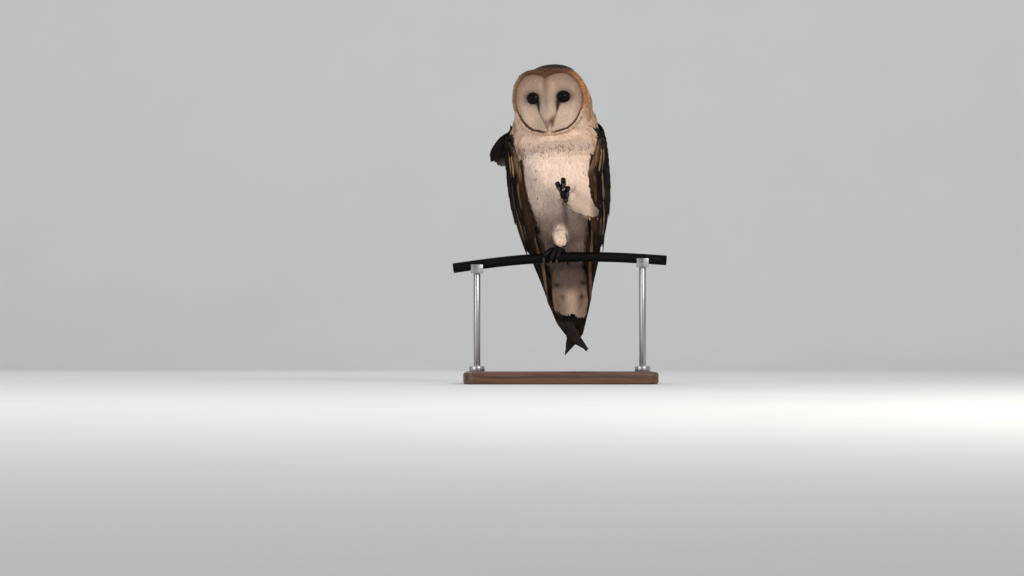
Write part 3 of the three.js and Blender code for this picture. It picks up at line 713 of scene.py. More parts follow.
def lie(points, region):
    """The way feathers point: back and down from the face, down the body, along the legs."""
    h = to_head(points)
    away = unit(h - np.array(CHIN)) @ HEAD.T
    on_head = smooth(points[..., 2], NECK_LOW, NECK_HIGH)[..., None]
    way = mix(np.array([0.0, 0.0, -1.0]), away * 0.75 + np.array([0, 0, -0.55]), on_head)
    outward = points * (1, 0, 0)
    way = way + 0.004 * outward * smooth(-points[..., 1], 10, 40)[..., None]
    for name, direction in LIMBS.items():
        here = region == REGION[name]
        way = np.where(here[..., None], np.array(direction), way)
    return way


def square_to(v, w):
    """The part of v that is square to the unit vectors w, at unit length."""
    return unit(v - w * (v * w).sum(-1, keepdims=True))


def laid(spots, normal, head, length, stations, lift, wild):
    """Centre lines of feathers that lie on the skin and start along head: points, ways across, and ups."""
    n = len(spots)
    twist = RNG.normal(0, wild, (n, 1))
    head = square_to(head, normal)
    head = unit(head + np.cross(normal, head) * twist)
    path, ups = [spots], [normal]
    here, up = spots, normal
    for _ in range(1, stations):
        guess = here + head * length[:, None] / (stations - 1)
        near, near_up = on_skin(guess)
        up = unit(mix(up, near_up, TURN_UP))
        near = mix(guess, near, HUG)
        head = unit(near - here)
        head = unit(head - up * (head * up).sum(-1, keepdims=True) * FLATTEN)
        here = near
        path.append(here)
        ups.append(up)
    path, ups = np.stack(path, 1), np.stack(ups, 1)
    along_ = unit(np.gradient(path, axis=1))
    ups = square_to(ups, along_)
    t = np.linspace(0, 1, stations)[None, :, None]
    return path + ups * lift(t, n), np.cross(along_, ups), ups


def vanes(path, across, ups, half, crown, k=3):
    """Vane grids from centre lines. half and crown are half the width and the bulge, at each station."""
    s = np.linspace(-1, 1, k)[:, None]
    half, crown = (np.broadcast_to(x, path.shape[:2])[..., None, None] for x in (half, crown))
    return path[:, :, None] + across[:, :, None] * half * s + ups[:, :, None] * crown * (1 - s ** 2)


def raised(base, rise, low, high):
    """How far off the skin a feather runs: base at its root, and rise more at its tip, give or take."""
    return lambda t, n: base + (rise + RNG.uniform(low, high, (n, 1, 1))) * t


def tuft_shape(t):
    """A small feather's width along its length, as a share of its widest."""
    return np.interp(t, np.linspace(0, 1, 4), [0.5, 1.0, 0.92, 0.25])


# ------------------------------------------------------------------------------------------------
# Markings


def face_colour(h):
    """The heart-shaped face: pale, lighter below and browner above as painted light and shade, dark smudges
    from the eyes down to the bill.
    """
    x, z = np.abs(h[..., 0]), h[..., 2]
    from_eye = np.hypot((x - EYE_AT[0]) / 1.08, z - EYE_AT[2])
    ring = 1 - smooth(from_eye, 5.0, 7.8)
    shadow = bell(np.hypot((x - EYE_AT[0] - 2.6) / 10, (z - EYE_AT[2] - 0.8) / 7.2))
    trail_x = np.interp(z, [-24, -21, -18, -10.5, -1, 3], [2.6, 3.9, 6.8, 10.2, 11.9, 12.4])
    trail_width = np.interp(z, [-24, -14, -6, 0], [1.8, 1.1, 1.3, 2.6])
    trail = bell((x - trail_x) / trail_width) * (1 - smooth(z, 2, 5))
    dark = trail * smooth(z, -12, -4)
    brown = trail * smooth(z, -24.5, -21) * 0.55
    beside_bill = bell(np.hypot((x - 4.6) / 1.8, (z + 20) / 3.2)) * 0.7
    left_of_bill = bell(np.hypot((h[..., 0] - 5.2 - 0.2 * (z + 20)) / 1.6, (z + 21) / 5.8)) * 0.85
    smudge = np.maximum(beside_bill, left_of_bill)
    seam = bell(x / 2.4) * smooth(z, -22, 4) * 0.42
    wedge = (1 - smooth(x - 0.8 * (z - 27.5), 0.0, 2.2)) * smooth(z, 26.5, 30)
    edge = smooth(face_share(h), 0.74, 0.98) * smooth(z, -26, 6)
    pale = bell((x - 7.2) / 2.0) * smooth(z, -12, 2) * (1 - smooth(z, 20, 28)) * 0.4
    return painted(
        h, srgb(182, 156, 137),
        # painted light and shade: lighter on the lower face, browner on the upper face
        (srgb(205, 179, 157), smooth(-z, -10, 24)),
        (srgb(154, 125, 109), smooth(z, 10, 30) * 0.85),
        (srgb(206, 180, 158), pale),
        (srgb(128, 100, 82), edge * 0.6),
        (srgb(62, 46, 39), shadow * 0.88),
        (srgb(104, 76, 60), seam),
        (srgb(118, 84, 72), wedge * 0.75),
        (srgb(98, 72, 58), brown),
        (srgb(80, 56, 46), smudge),
        (srgb(34, 23, 19), dark * 0.94),
        (srgb(18, 13, 12), ring))


def veil(p):
    """The upper parts: golden buff under a fine grey veil, peppered with dark."""
    fine, broad = noise(p * (1, 1, 0.5), 2.2, 14), noise(p, 9, 16)
    pepper = smooth(noise(p, 1.5, 17), 0.62, 0.8)
    return painted(p, GILT, (VEIL_GREY, smooth(fine, 0.34, 0.66) * (0.5 + 0.45 * broad)),
                   (srgb(74, 64, 60), pepper * 0.55))


def head_colour(p):
    """Crown, nape and the sides of the head, outside the face."""
    x, y, z = np.moveaxis(to_head(p), -1, 0)
    streak = noise(p * (1, 1, 0.35), 2.6, 2)
    top = smooth(z + 0.1 * y, 20, 34)
    behind = np.maximum(smooth(y, 0, 20), smooth(y, -14, 8) * smooth(z, 10, 30))
    strip = bell((y + 28) / 7) * smooth(z, -16, 6)
    side = smooth(z, -26, 6)
    rim = smooth(np.abs(x), 39, 46) * smooth(streak, 0.3, 0.6) * smooth(z, -60, -40)
    cap = smooth(y + 0.3 * (z - 40), -27.5, -21.5) * smooth(z, 24, 36) * (1 - smooth(np.abs(x + 2), 17, 31))
    cheek = smooth(x, 37, 44) * smooth(z, -56, -40) * (1 - smooth(z, -6, 6)) * (1 - smooth(y, 4, 16))
    return painted(
        p, srgb(218, 190, 168),
        (srgb(170, 135, 105), side * 0.8),
        (srgb(142, 104, 74), side * smooth(streak, 0.35, 0.65) * 0.5),
        (mix(RUST, BROWN, 0.25), top),
        (srgb(136, 102, 76), rim * (1 - top) * 0.7),
        (srgb(148, 102, 66), strip * (1 - top) * 0.8),
        (veil(p), behind),
        (srgb(150, 110, 82), cheek * (0.5 + 0.3 * smooth(streak, 0.3, 0.7))),
        (srgb(12, 12, 14), cap * (1 - smooth(y + 8 * streak, -2, 14)) * 0.97))


# how far out the breast's white reaches at each height towards viewer's left and right, where the wings begin
LEFT_LINE = curve((120, 44), (113, 39.2), (95, 39.2), (83, 38.2), (66, 36), (54, 32.7), (42, 29.6),
                  (30, 24.5))
RIGHT_LINE = curve((124, 43), (118, 38.8), (107, 35.6), (95, 35.4), (80, 34.5), (66, 34), (60, 38))
# dark spots of the feathers under the tail: x, z and strength
TAIL_SPOTS = ((-15.6, -31.0, 0.9), (15.2, -31.0, 0.95), (12.6, -47, 0.75), (-10.6, -45, 0.4))
TAIL_MIDDLE = 3.6


def stance_light_pool(p):
    """Painted light: the bright oval where light falls on the standing leg."""
    x, z = p[..., 0], p[..., 2]
    middle, wide = np.interp(z, [10, 38], [-1.6, -4.2]), np.interp(z, [10, 38], [7.2, 12.6])
    return 1 - smooth(np.hypot((x - middle) / wide, np.maximum(z - 21, 0) / 19.5), 0.7, 1.12)


def undertail_colour(p):
    """Pale in the middle, browner at the sides, darker towards the vent in painted shade, with two pairs of
    dark spots.
    """
    x, z = p[..., 0] - TAIL_MIDDLE, p[..., 2]
    centre = bell(x / 8.2) * smooth(-z, 33, 46)
    streak = smooth(noise(p * (1, 0.5, 0.25), 2.2, 15), 0.45, 0.7) * smooth(np.abs(x), 6, 11)
    spots = [(srgb(36, 26, 22), bell(np.hypot((x - at_x) / 3.2, (z - at_z) / 2.3)) * strength)
             for at_x, at_z, strength in TAIL_SPOTS]
    return painted(
        p, srgb(134, 110, 93),
        # painted shade: darker towards the vent, under the body
        (srgb(98, 80, 72), smooth(z, -44, -28)),
        (srgb(194, 164, 144), centre * 0.95),
        (srgb(96, 76, 62), streak * 0.45),
        *spots)


def painted_belly_shade(p):
    """Painted shade on the belly: greyer downwards."""
    z = p[..., 2]
    return painted(
        p, srgb(184, 163, 149),
        (srgb(146, 125, 112), smooth(-z, -66, -40)),
        (srgb(112, 95, 85), smooth(-z, -42, -12)),
        (srgb(90, 76, 71), smooth(-z, -8, 8)))


def front_colour(p):
    """Neck, breast and belly: white with a creamy bib, painted shade at the owl's right flank, low on the
    belly and under the raised leg, a painted shadow line beside the raised foot, and painted light under the
    chin.
    """
    x, y, z = np.moveaxis(p, -1, 0)
    bib = smooth(z, 112, 124)
    cream = bib * 0.55 * (1 - smooth(z, 130, 142) * bell(x / 34))
    # painted shade: the owl's right flank away from the light, under the raised leg and low on the belly,
    # only on the front of the body
    off_limb = 1 - smooth(x, 4, 14) * smooth(z, 40, 56)
    shade_on_right = smooth(-(x + 15) * 0.81 - (z - 91) * 0.59, -5, 14) * off_limb
    shadow_under_limb = smooth(60.5 - (x - 7.7) * 0.653 - z, -1, 6) * smooth(x, 2, 10)
    shade = np.maximum(np.maximum(shade_on_right, shadow_under_limb), smooth(-z, -16, 0))
    in_front = mix(smooth(-y, -24, 0), smooth(-y, -60, -46), smooth(-z, -30, -4))
    # painted shadow: a dark line in the gap between the belly and the raised leg, below the raised foot
    gap = bell((x - np.interp(z, [45, 70], [4.2, 2.6])) / 4.2) * smooth(z, 30, 44) * (1 - smooth(z, 64, 72))
    # painted light: lighter under the chin, against the shadow of the head
    throat_light = bell(x / 30) * smooth(z, 130, 138) * (1 - smooth(y, -16, 0))
    neck_side = smooth(np.abs(x), 36, 44) * smooth(z, 104, 118) * (y < 20)
    return painted(
        p, PEACH,
        (WHITE, np.clip(noise(p, 14, 3) - 0.3, 0, 1) * 0.7),
        (CREAM, cream),
        (ASH, bib * bell((z - 127) / 5) * 0.5),
        (painted_belly_shade(p), shade * in_front),
        (srgb(92, 80, 74), gap * (y < 0) * 0.8),
        (srgb(250, 222, 200), throat_light * 0.7),
        (GOLD, neck_side * 0.55 * smooth(noise(p * (1, 1, 0.5), 4, 4), 0.3, 0.7)))


def body_colour(p, region):
    """Neck, breast, belly, thighs, shanks and the feathers under the tail, and the mantle behind."""
    x, y, z = np.moveaxis(p, -1, 0)
    mantle = smooth(y, 14, 26) * smooth(z, 4, 16)
    leg, stance = is_region(region, "leg_"), is_region(region, "leg_right")
    vent = (1 - leg) * smooth(-z, 20, 30) * (y < 60)
    light_pool = stance_light_pool(p)
    over_left = smooth(-x - LEFT_LINE(z), -0.6, 1.6) * (z > 30)
    over_right = smooth(x - RIGHT_LINE(z), -0.6, 1.6) * (z > 62)
    wing_edge = np.maximum(over_left, over_right) * (z < 118) * (1 - leg)
    streak = smooth(noise(p * (1, 1, 0.5), 4, 4), 0.4, 0.8)[..., None]
    wing_brown = mix(srgb(62, 41, 27), srgb(34, 25, 20), streak)
    shoulder = smooth(np.abs(x), 46.8, 49) * (z < 152) * (z > 104)
    return layered(
        front_colour(p),
        (veil(p), mantle),
        (srgb(226, 198, 178), leg * 0.95),
        # painted shade over the standing leg, then painted light in a bright oval on it and on the body just
        # below
        (srgb(140, 120, 107), stance),
        (SUNLIT, stance * light_pool),
        (undertail_colour(p), vent),
        (SUNLIT, light_pool * (1 - leg) * smooth(-y, 4, 16) * smooth(z, 4, 12)),
        (wing_brown, wing_edge),
        (srgb(30, 23, 19), shoulder * (1 - mantle)))


def wing_colour(p):
    """The skin under the wing's feathers: dark in front, veiled gold behind."""
    streak, cloud = noise(p * (1, 1, 0.25), 3, 5), noise(p, 9, 6)
    front = smooth(-p[..., 1], -2, 22)
    return painted(
        p, mix(DARK, BROWN, 0.2),
        (BROWN, smooth(streak, 0.6, 0.82) * 0.5),
        (RUST, front * smooth(cloud, 0.5, 0.7) * 0.35),
        (veil(p), smooth(p[..., 1], 12, 26)))


def coat_colour(p, region):
    """The markings of skin and coat alike, by place and part of the body."""
    h = to_head(p)
    on_head = is_region(region, "head", "ruff", "disc") * smooth(p[..., 2], 136, 146)
    on_face = (1 - smooth(face_share(h), 0.98, 1.04)) * (h[..., 1] < -16) * (p[..., 2] > 130)
    return layered(body_colour(p, region), (wing_colour(p), is_region(region, "wing")),
                   (head_colour(p), on_head), (face_colour(h), on_face))


# painted shade: the skin is a little darker where it shows between the feathers
SKIN_SHADE = 0.96  # a little darker between the feathers
skin_region = region_of(SKIN)
skin = mesh_piece("skin", to_world(SKIN), SKIN_QUADS, NO_TRIS, skin_material(),
                  colours=coat_colour(SKIN, skin_region) * SKIN_SHADE)
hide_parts(*FLESH)
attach(skin, "root")

# ------------------------------------------------------------------------------------------------
# The coat


def tint_grid(grid, colour, tips):
    """One colour per feather spread over its grid, a little different each time. tips hold the colour of
    each end, as red, green, blue and strength."""
    n, s, k, _ = grid.shape
    t = np.linspace(0, 1, s)[None, :, None]
    brightening = mix(0.93, 1.03, t)[..., None]
    out = np.broadcast_to(colour[:, None, None], grid.shape) * uneven(n, 0.03) * brightening
    if tips is None:
        return out
    inwards = 1 - 0.5 * np.abs(np.linspace(-1, 1, k))
    ink, strength = tips[:, None, None, :3], tips[:, None, None, 3]
    return layered(out, (np.broadcast_to(ink, out.shape), smooth(t, 0.74, 0.94) * strength * inwards))


def coat(name, spacing, keep, length, half, lift, stations=4, k=3, material=BODY_FEATHER, way=None,
         spots=None, crown=0.3, wild=0.15, profile=tuft_shape, paint=None, puff=None, wrap=body_wrap):
    """A tract of feathers rooted on the skin where keep(points, regions) holds. length and half are numbers
    or functions of the points; so are way, their heading, puff, how far they stand off, and spots, their
    tips. paint gives colours to their grid instead of the skin's markings."""
    roots, normal, region = scattered(spacing, keep)
    n = len(roots)
    length, half = (np.broadcast_to(v(roots) if callable(v) else v, n) for v in (length, half))
    heading = way(roots) if way else lie(roots, region)
    path, across, ups = laid(roots, normal, heading, length, stations, lift, wild)
    t = np.linspace(0, 1, stations)
    if puff:
        path = path + ups * (puff(roots)[:, None] * smooth(t, 0, 0.6))[..., None]
    halves = half[:, None] * profile(t) * RNG.uniform(0.85, 1.15, (n, 1))
    grid = vanes(path, across, ups, halves, crown * profile(t), k)
    tips = spots(path[:, -1]) if spots else None
    tints = tint_grid(grid, coat_colour(path[:, stations // 2], region), tips)
    if paint:  # after the plain tints, so that a tract's random numbers stay in one order
        tints = paint(grid) * uneven(n, 0.03)
    feather_piece(name, grid, ups, tints, material, roots, wrap)


def in_face(p):
    h = to_head(p)
    return (face_share(h) < 0.985) & (h[:, 1] < -16) & (p[:, 2] > 130)


def beside_eye(p):
    """Distance from the middle of the nearer eye, seen from the front."""
    h = to_head(p)
    return np.hypot(np.abs(h[:, 0]) - EYE_AT[0], h[:, 2] - EYE_AT[2])


def off_bill(p):
    h = to_head(p)
    return ~((np.abs(h[:, 0]) < 3.0) & (h[:, 2] < -16.5) & (h[:, 2] > -32) & (h[:, 1] < -30))


def face_way(p):
    """Feathers of the face fan out from each eye; those on the crest point up and outwards."""
    h = to_head(p)
    side = np.sign(h[:, 0] + 1e-6)
    level, one = 0 * side, np.ones(len(h))
    eye = np.stack([side * EYE_AT[0], h[:, 1], one * EYE_AT[2]], 1)
    up, down = np.stack([side * 0.16, level, one], 1), np.stack([side * 0.5, level, -one], 1)
    crest = mix(up, down, smooth(-h[:, 2], 14, 22)[:, None])
    middle = bell(h[:, 0] / 7)[:, None]
    return unit(mix(unit(h - eye), crest, middle * 0.85)) @ HEAD.T


coat("coat_face", 0.98, lambda p, r: in_face(p) & (beside_eye(p) > 5.6) & off_bill(p),
     lambda p: mix(2.8, 4.6, smooth(beside_eye(p), 7, 20)), 0.55, raised(0.35, 0.3, -0.12, 0.12), crown=0.1,
     way=face_way, wild=0.05, paint=lambda grid: face_colour(to_head(grid)), wrap=head_wrap)


def bib_spots(p):
    """Small dark specks at feather tips: a band of them below the bib, fewer on the flanks and breast."""
    x, y, z = p.T
    band = bell((z - 122) / 5) * 0.34 * (1 - smooth(x, 20, 40) * 0.4)
    flank = bell((z - 94) / 20) * (bell((np.abs(x) - 28) / 8) * 0.04 + 0.005)
    cheek = bell(np.hypot((np.abs(x) - 40) / 7, (z - 148) / 10)) * 0.06
    pick = (RNG.random(len(p)) < np.clip(band + flank + cheek, 0, 1)) & (y < 14)
    strength = pick * RNG.uniform(0.7, 1.0, len(p))
    return np.column_stack([np.broadcast_to(mix(BROWN, DARK, 0.4), p.shape), strength])


def behind_ruff(p, r):
    """The head outside the face, from the back of the ruff."""
    h = to_head(p)
    return is_region(r, "head", "ruff", "disc") & ~((face_share(h) < 1.10) & (h[:, 1] < -25))


def fuller(p):
    """How much fuller than the solid the coat is: under the right cheek, and behind the ruff."""
    h = to_head(p)
    ruff_back = 2.4 * bell((h[:, 1] + 22) / 9) * smooth(h[:, 2], -8, 10) * (1 - smooth(h[:, 2], 20, 32))
    return 3.6 * bell((p[:, 2] - 163) / 12) * smooth(-p[:, 0], 28, 41) + ruff_back


def down_head(crown, nape):
    """A size that changes from the crown to the nape."""
    return lambda p: mix(crown, nape, smooth(-p[:, 2], -192, -150))


BACK_Y, RUMP_Z = 16, 8  # the mantle begins behind and above these


def on_back(p):
    return (p[:, 1] > BACK_Y) & (p[:, 2] > RUMP_Z)


def on_trunk(low, high):
    """Breast, belly and vent between two heights."""
    return lambda p, r: is_region(r, "trunk") & ~on_back(p) & (p[:, 2] > low) & (p[:, 2] <= high)


BREAST_Z, VENT_Z = 74, 4  # the belly lies between these heights
EVERYWHERE = 1000


def on_belly(p, r):
    """The belly between the wings, which stand closer below."""
    return on_trunk(VENT_Z, BREAST_Z)(p, r) & (np.abs(p[:, 0]) < 17 + 0.3 * p[:, 2])


def belly_length(p):
    """Shorter where the raised foot would lift them."""
    return mix(15, 7, bell(np.hypot((p[:, 0] + 4) / 14, (p[:, 2] - 48) / 12)))


coat("coat_head", 1.5, behind_ruff, down_head(7.0, 11.0), down_head(1.1, 1.35),
     raised(0.5, 0.6, -0.15, 0.15), crown=0.2, spots=bib_spots, wild=0.08, puff=fuller, wrap=head_wrap)
coat("coat_neck", 1.6, lambda p, r: is_region(r, "neck") & (p[:, 2] > 112), 11.5, 1.7,
     raised(0.6, 1.5, -0.25, 0.3), spots=bib_spots, wild=0.1, puff=fuller)
coat("coat_breast", 1.6, on_trunk(BREAST_Z, EVERYWHERE), 13, 2.0, raised(0.6, 1.3, -0.2, 0.25),
     spots=bib_spots, wild=0.1)
coat("coat_belly", 1.8, on_belly, belly_length, 2.0, raised(0.6, 2.0, -0.5, 0.6), wild=0.2)
coat("coat_vent", 2.0, on_trunk(-EVERYWHERE, VENT_Z), 17, 2.2, raised(0.6, 2.2, -0.5, 0.6), wild=0.18)
coat("coat_thighs", 1.5, lambda p, r: is_region(r, "thigh"), 9.5, 1.5, raised(0.6, 1.6, -0.4, 0.5),
     crown=0.25, wild=0.18, wrap=leg_wrap)
coat("coat_shanks", 1.1, lambda p, r: is_region(r, "shank"), 5.0, 0.8, raised(0.3, 0.6, -0.25, 0.25),
     crown=0.2, wrap=leg_wrap)

# ------------------------------------------------------------------------------------------------
# Soft feathers over the step between the breast and the raised leg

NOTHING_Y = 60.0  # where a look at the body from the front meets nothing


def eased(y, step, slope):
    """A height field whose steps are bridged by slopes, for feathers to lie on. Low y is in front."""
    start = y
    for _ in range(40):
        for axis in (0, 1):
            for way in (1, -1):
                beside = np.clip(np.arange(y.shape[axis]) + way, 0, y.shape[axis] - 1)
                y = np.minimum(y, np.take(y, beside, axis) + slope * step)
    kernel = bell(np.arange(-4, 5) / 2.2)
    kernel /= kernel.sum()
    for axis in (0, 1):
        y = np.apply_along_axis(lambda v: np.convolve(np.pad(v, 4, "edge"), kernel, "valid"), axis, y)
    return np.minimum(y, start)


def first_met(tree, x, z, from_y, nothing):
    """y where rays that look back along x, z from from_y meet a surface."""
    backwards = Vector((0, 1, 0))
    hits = [tree.ray_cast(Vector((a, from_y, b)), backwards)[0] for a, b in zip(x.ravel(), z.ravel())]
    return np.array([h.y if h else nothing for h in hits]).reshape(x.shape)


class Front:
    """The front of the body, and of a form also(x, z) over it, as y over x and z with its steps eased."""

    def __init__(self, x_range, z_range, slope, also=None, step=1.5):
        self.step = step
        xs, zs = np.arange(*x_range, step), np.arange(*z_range, step)
        self.x0, self.z0 = xs[0], zs[0]
        x, z = np.meshgrid(xs, zs, indexing="ij")
        y = first_met(SKIN_TREE, x, z, -130, NOTHING_Y)
        self.y = eased(np.minimum(y, also(x, z)) if also else y, step, slope)

    def __call__(self, x, z):
        u = np.clip((x - self.x0) / self.step, 0, self.y.shape[0] - 1.001)
        v = np.clip((z - self.z0) / self.step, 0, self.y.shape[1] - 1.001)
        i, j = u.astype(int), v.astype(int)
        f, g = u - i, v - j
        return mix(mix(self.y[i, j], self.y[i + 1, j], f), mix(self.y[i, j + 1], self.y[i + 1, j + 1], f), g)


def drape(name, front, x, z, heading, length, half, colour_of, lift):
    """Feathers that lie on an eased front, from roots at x, z along a heading."""
    n = len(x)
    heading = unit(heading + RNG.normal(0, 0.1, (n, 2)))
    t = np.linspace(0, 1, 5)
    px = x[:, None] + heading[:, :1] * length[:, None] * t
    pz = z[:, None] + heading[:, 1:] * length[:, None] * t
    rise = lift[0] + lift[1] * t + RNG.uniform(-0.2, 0.3, (n, 1)) * t
    path = np.stack([px, front(px, pz) - rise, pz], -1)
    along_ = unit(np.gradient(path, axis=1))
    slope_x = (front(px + 1.5, pz) - front(px - 1.5, pz)) / 3
    slope_z = (front(px, pz + 1.5) - front(px, pz - 1.5)) / 3
    up = square_to(unit(np.stack([slope_x, slope_x * 0 - 1, slope_z], -1)), along_)
    halves = tuft_shape(t) * half * RNG.uniform(0.85, 1.15, (n, 1))
    grid = vanes(path, np.cross(along_, up), up, halves, 0.25)
    feather_piece(name, grid, up, colour_of(grid) * uneven(n, 0.03), roots=path[:, 0])


LIMB_TOP = np.array([12.0, 66.0])  # x and z where the raised leg leaves the body
LIMB_RUN = np.array([25.0, -18.5])  # from there to its end
# how far out the raised leg's feathers reach at each height
LIMB_EDGE = curve((36, 28), (39.5, 34), (42.4, 40), (46.8, 42), (51.2, 40), (54, 37), (60, 33.8), (66, 33.4),
                  (80, 34.4), (110, 36))


def limb_colour(grid):
    """The raised leg: the breast's colour above, greyer towards its end."""
    share = (grid[..., 0] - LIMB_TOP[0]) / LIMB_RUN[0]
    on_limb = smooth(LIMB_TOP[1] + LIMB_RUN[1] * share + 12 - grid[..., 2], -8, 6)
    limb = mix(srgb(206, 180, 160), srgb(116, 100, 91), smooth(share, 0.7, 1.15)[..., None])
    return layered(body_colour(grid, np.full(1, REGION["trunk"])), (limb, on_limb))


def make_thigh_drape():
    n = 2600
    share, off = RNG.uniform(-0.05, 1.05, n), RNG.uniform(-2, 25, n)
    x, z = (LIMB_TOP + LIMB_RUN * share[:, None] + off[:, None] * (0.55, 0.84)).T
    length = RNG.uniform(8, 11.5, n)
    turn = smooth(share, 0.5, 1.0) * smooth(-off, -14, 0)
    heading = unit(np.stack([mix(0.3, 0.8, turn), mix(-0.95, -0.5, turn)], -1))
    end_x, end_z = x + heading[:, 0] * length, z + heading[:, 1] * length
    inside = (x < LIMB_EDGE(z) - 1) & (end_x < LIMB_EDGE(end_z))
    above_foot = end_z > 63 + RNG.normal(0, 1, n) - 1.02 * (end_x - 8.2)
    fits = inside & above_foot & (end_z > 40.5 + RNG.normal(0, 0.8, n))
    front = Front((-30, 54), (14, 106), 0.85)
    drape("coat_thigh_drape", front, x[fits], z[fits], heading[fits], length[fits], 1.5, limb_colour,
          (-0.2, 2.0))


make_thigh_drape()

# ------------------------------------------------------------------------------------------------
# The ruff: short stiff feathers in rows round the face


def heart_edge(turn):
    """The face's edge in the head's frame for turns from 0 at the owl's left, up and round."""
    angle = np.radians(turn)
    x, z = np.cos(angle), np.sin(angle)
    r = heart_radius(elevation(x, z))
    return r * x, r * z, np.stack([x, 0 * x, z], -1)


def ruff_row(count, starts, shape, half, colour_of):
    """shape gives for each station how far out from the edge and how far back it lies."""
    shape = np.array(shape)
    turn = (np.arange(count) + starts) / count * 360 + RNG.normal(0, 0.25, count)
    x, z, out = heart_edge(turn)
    base = np.stack([x, face_depth(x, z), z], -1)
    grow = 1 + RNG.normal(0, 0.06, (count, 1))
    path = base[:, None] + out[:, None] * (shape[None, :, 0] * grow)[..., None]
    path[..., 1] += shape[None, :, 1]
    tangent = unit(np.roll(base, -1, 0) - np.roll(base, 1, 0))
    across = np.broadcast_to(tangent[:, None], path.shape)
    up = unit(np.cross(across, unit(np.gradient(path, axis=1))))
    up = np.where(up[..., 1:2] > 0, -up, up)
    path = path + RNG.normal(0, 0.15, (count, 1))[..., None]
    t = np.linspace(0, 1, len(shape))
    width = np.interp(t, [0, 0.3, 0.7, 0.9, 1], [0.7, 1, 1, 0.75, 0.25])
    ups = up @ HEAD.T
    grid = vanes(from_head(path), across @ HEAD.T, ups, half * width, 0.25 * width)
    colour = colour_of(elevation(x, z)[:, None], x[:, None], z[:, None], t + 0 * x[:, None])
    tints = np.broadcast_to(colour[:, :, None], grid.shape) * uneven(count, 0.08)
    return grid, ups, tints, from_head(base)


def beside_face(right, left, x):
    """A colour that differs between the two sides of the face."""
    return mix(right, left, smooth(x, -20, 20)[..., None])


def ruff_inner(el, x, z, t):
    """Dark brown below with a gap at the chin, bright rust beside the eyes, brown above."""
    side = beside_face(srgb(118, 92, 70), srgb(146, 98, 64), x) + 0 * t[..., None]
    return layered(side, (mix(RUST, BROWN, 0.3), smooth(el, 40, 66) + 0 * t),
                   (srgb(82, 58, 43), smooth(-el, 8, 30) + 0 * t),
                   (srgb(204, 172, 148), bell(x / 5.5) * (z < 0) * 0.95 + 0 * t),
                   (srgb(134, 102, 80), (1 - smooth(t, 0.0, 0.25)) * 0.4))


def ruff_outer(el, x, z, t):
    """Pale below, golden at the sides and rust above."""
    side = beside_face(srgb(142, 112, 84), mix(GOLD, ORANGE, 0.5), x) + 0 * t[..., None]
    return layered(side, (mix(RUST, BROWN, 0.3), smooth(el, 38, 62) + 0 * t),
                   (srgb(200, 170, 147), smooth(-el, -2, 24) + 0 * t),
                   (mix(GOLD, BROWN, 0.5), smooth(t, 0.75, 1) * 0.25))


# rows from the face outwards: how many feathers, their shift, section, half width and colour
RUFF = [
    (250, 0.0, [(-0.9, 0.9), (-0.3, -0.5), (0.3, -1.3), (0.9, -1.8), (1.5, -1.7)], 0.75, ruff_inner),
    (250, 0.5, [(0.0, -0.2), (0.6, -1.3), (1.2, -2.0), (1.8, -1.9), (2.3, -1.3)], 0.8, ruff_inner),
    (280, 0.2, [(0.9, -1.2), (1.7, -2.1), (2.4, -2.0), (3.1, -1.0), (3.7, 0.6)], 0.95, ruff_outer),
    (280, 0.7, [(1.8, -1.4), (2.6, -1.5), (3.3, -0.6), (3.9, 1.0), (4.4, 3.0)], 1.0, ruff_outer),
    (270, 0.0, [(2.6, -0.4), (3.3, 0.3), (3.9, 1.6), (4.5, 3.6), (4.8, 6.2)], 1.1, ruff_outer),
]


def make_ruff():
    grid, ups, tints, roots = (np.concatenate(x) for x in zip(*(ruff_row(*row) for row in RUFF)))
    feather_piece("coat_ruff", grid, ups, tints, roots=roots, wrap=head_wrap)


make_ruff()

# ------------------------------------------------------------------------------------------------
# Eyes, lids and bill


def square_axes(direction):
    """Unit vectors along a direction and square to it."""
    d = unit(np.array(direction, float))
    a = unit(np.cross(d, [0, 0, 1]))
    return d, a, np.cross(d, a)


def lathe_piece(name, profile, place, direction, material, colours, around=48):
    """A closed form turned round an axis. profile is (radius, along) from one pole to the other."""
    r, h = np.array(profile, float).T
    turn = np.linspace(0, 2 * np.pi, around, endpoint=False)[:, None]
    d, a, b = square_axes(direction)
    inner = r[1:-1, None, None] * (np.cos(turn) * a + np.sin(turn) * b) + h[1:-1, None, None] * d
    verts = np.concatenate([[h[0] * d], inner.reshape(-1, 3), [h[-1] * d]]) + np.array(place)
    ring = np.arange((len(r) - 2) * around).reshape(-1, around) + 1
    after = np.roll(ring, -1, axis=1)
    quads = np.stack([ring[:-1], after[:-1], after[1:], ring[1:]], -1).reshape(-1, 4)
    last = len(verts) - 1
    tris = np.concatenate([np.stack([after[0], ring[0], 0 * ring[0]], -1),
                           np.stack([ring[-1], after[-1], 0 * ring[0] + last], -1)])
    paint = np.concatenate([colours[:1], np.repeat(colours[1:-1], around, 0), colours[-1:]])
    ob = mesh_piece(name, to_world(from_head(verts)), quads, tris, material, colours=paint)
    bm = bmesh.new()
    bm.from_mesh(ob.data)
    bmesh.ops.recalc_face_normals(bm, faces=bm.faces)
    bm.to_mesh(ob.data)
    bm.free()
    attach(ob, "root")
    return ob


def eye_material():
    m = Shader("eye", roughness=0.07, Specular_IOR_Level=0.08)
    m.tinted(m.band(m.noise(1500, 3), 0.35, 0.65, 0.7, 1.2))
    m.vary_roughness(0.04, 0.10, 400)
    return m.material


def lid_material():
    m = Shader("eyelid", roughness=0.6, Specular_IOR_Level=0.12)
    m.colour(m.noise(900, 4), srgb(9, 7, 7), srgb(17, 13, 12))
    m.bump(m.noise(1800, 4), 0.6, 0.0002)
    m.vary_roughness(0.45, 0.7, 700)
    return m.material


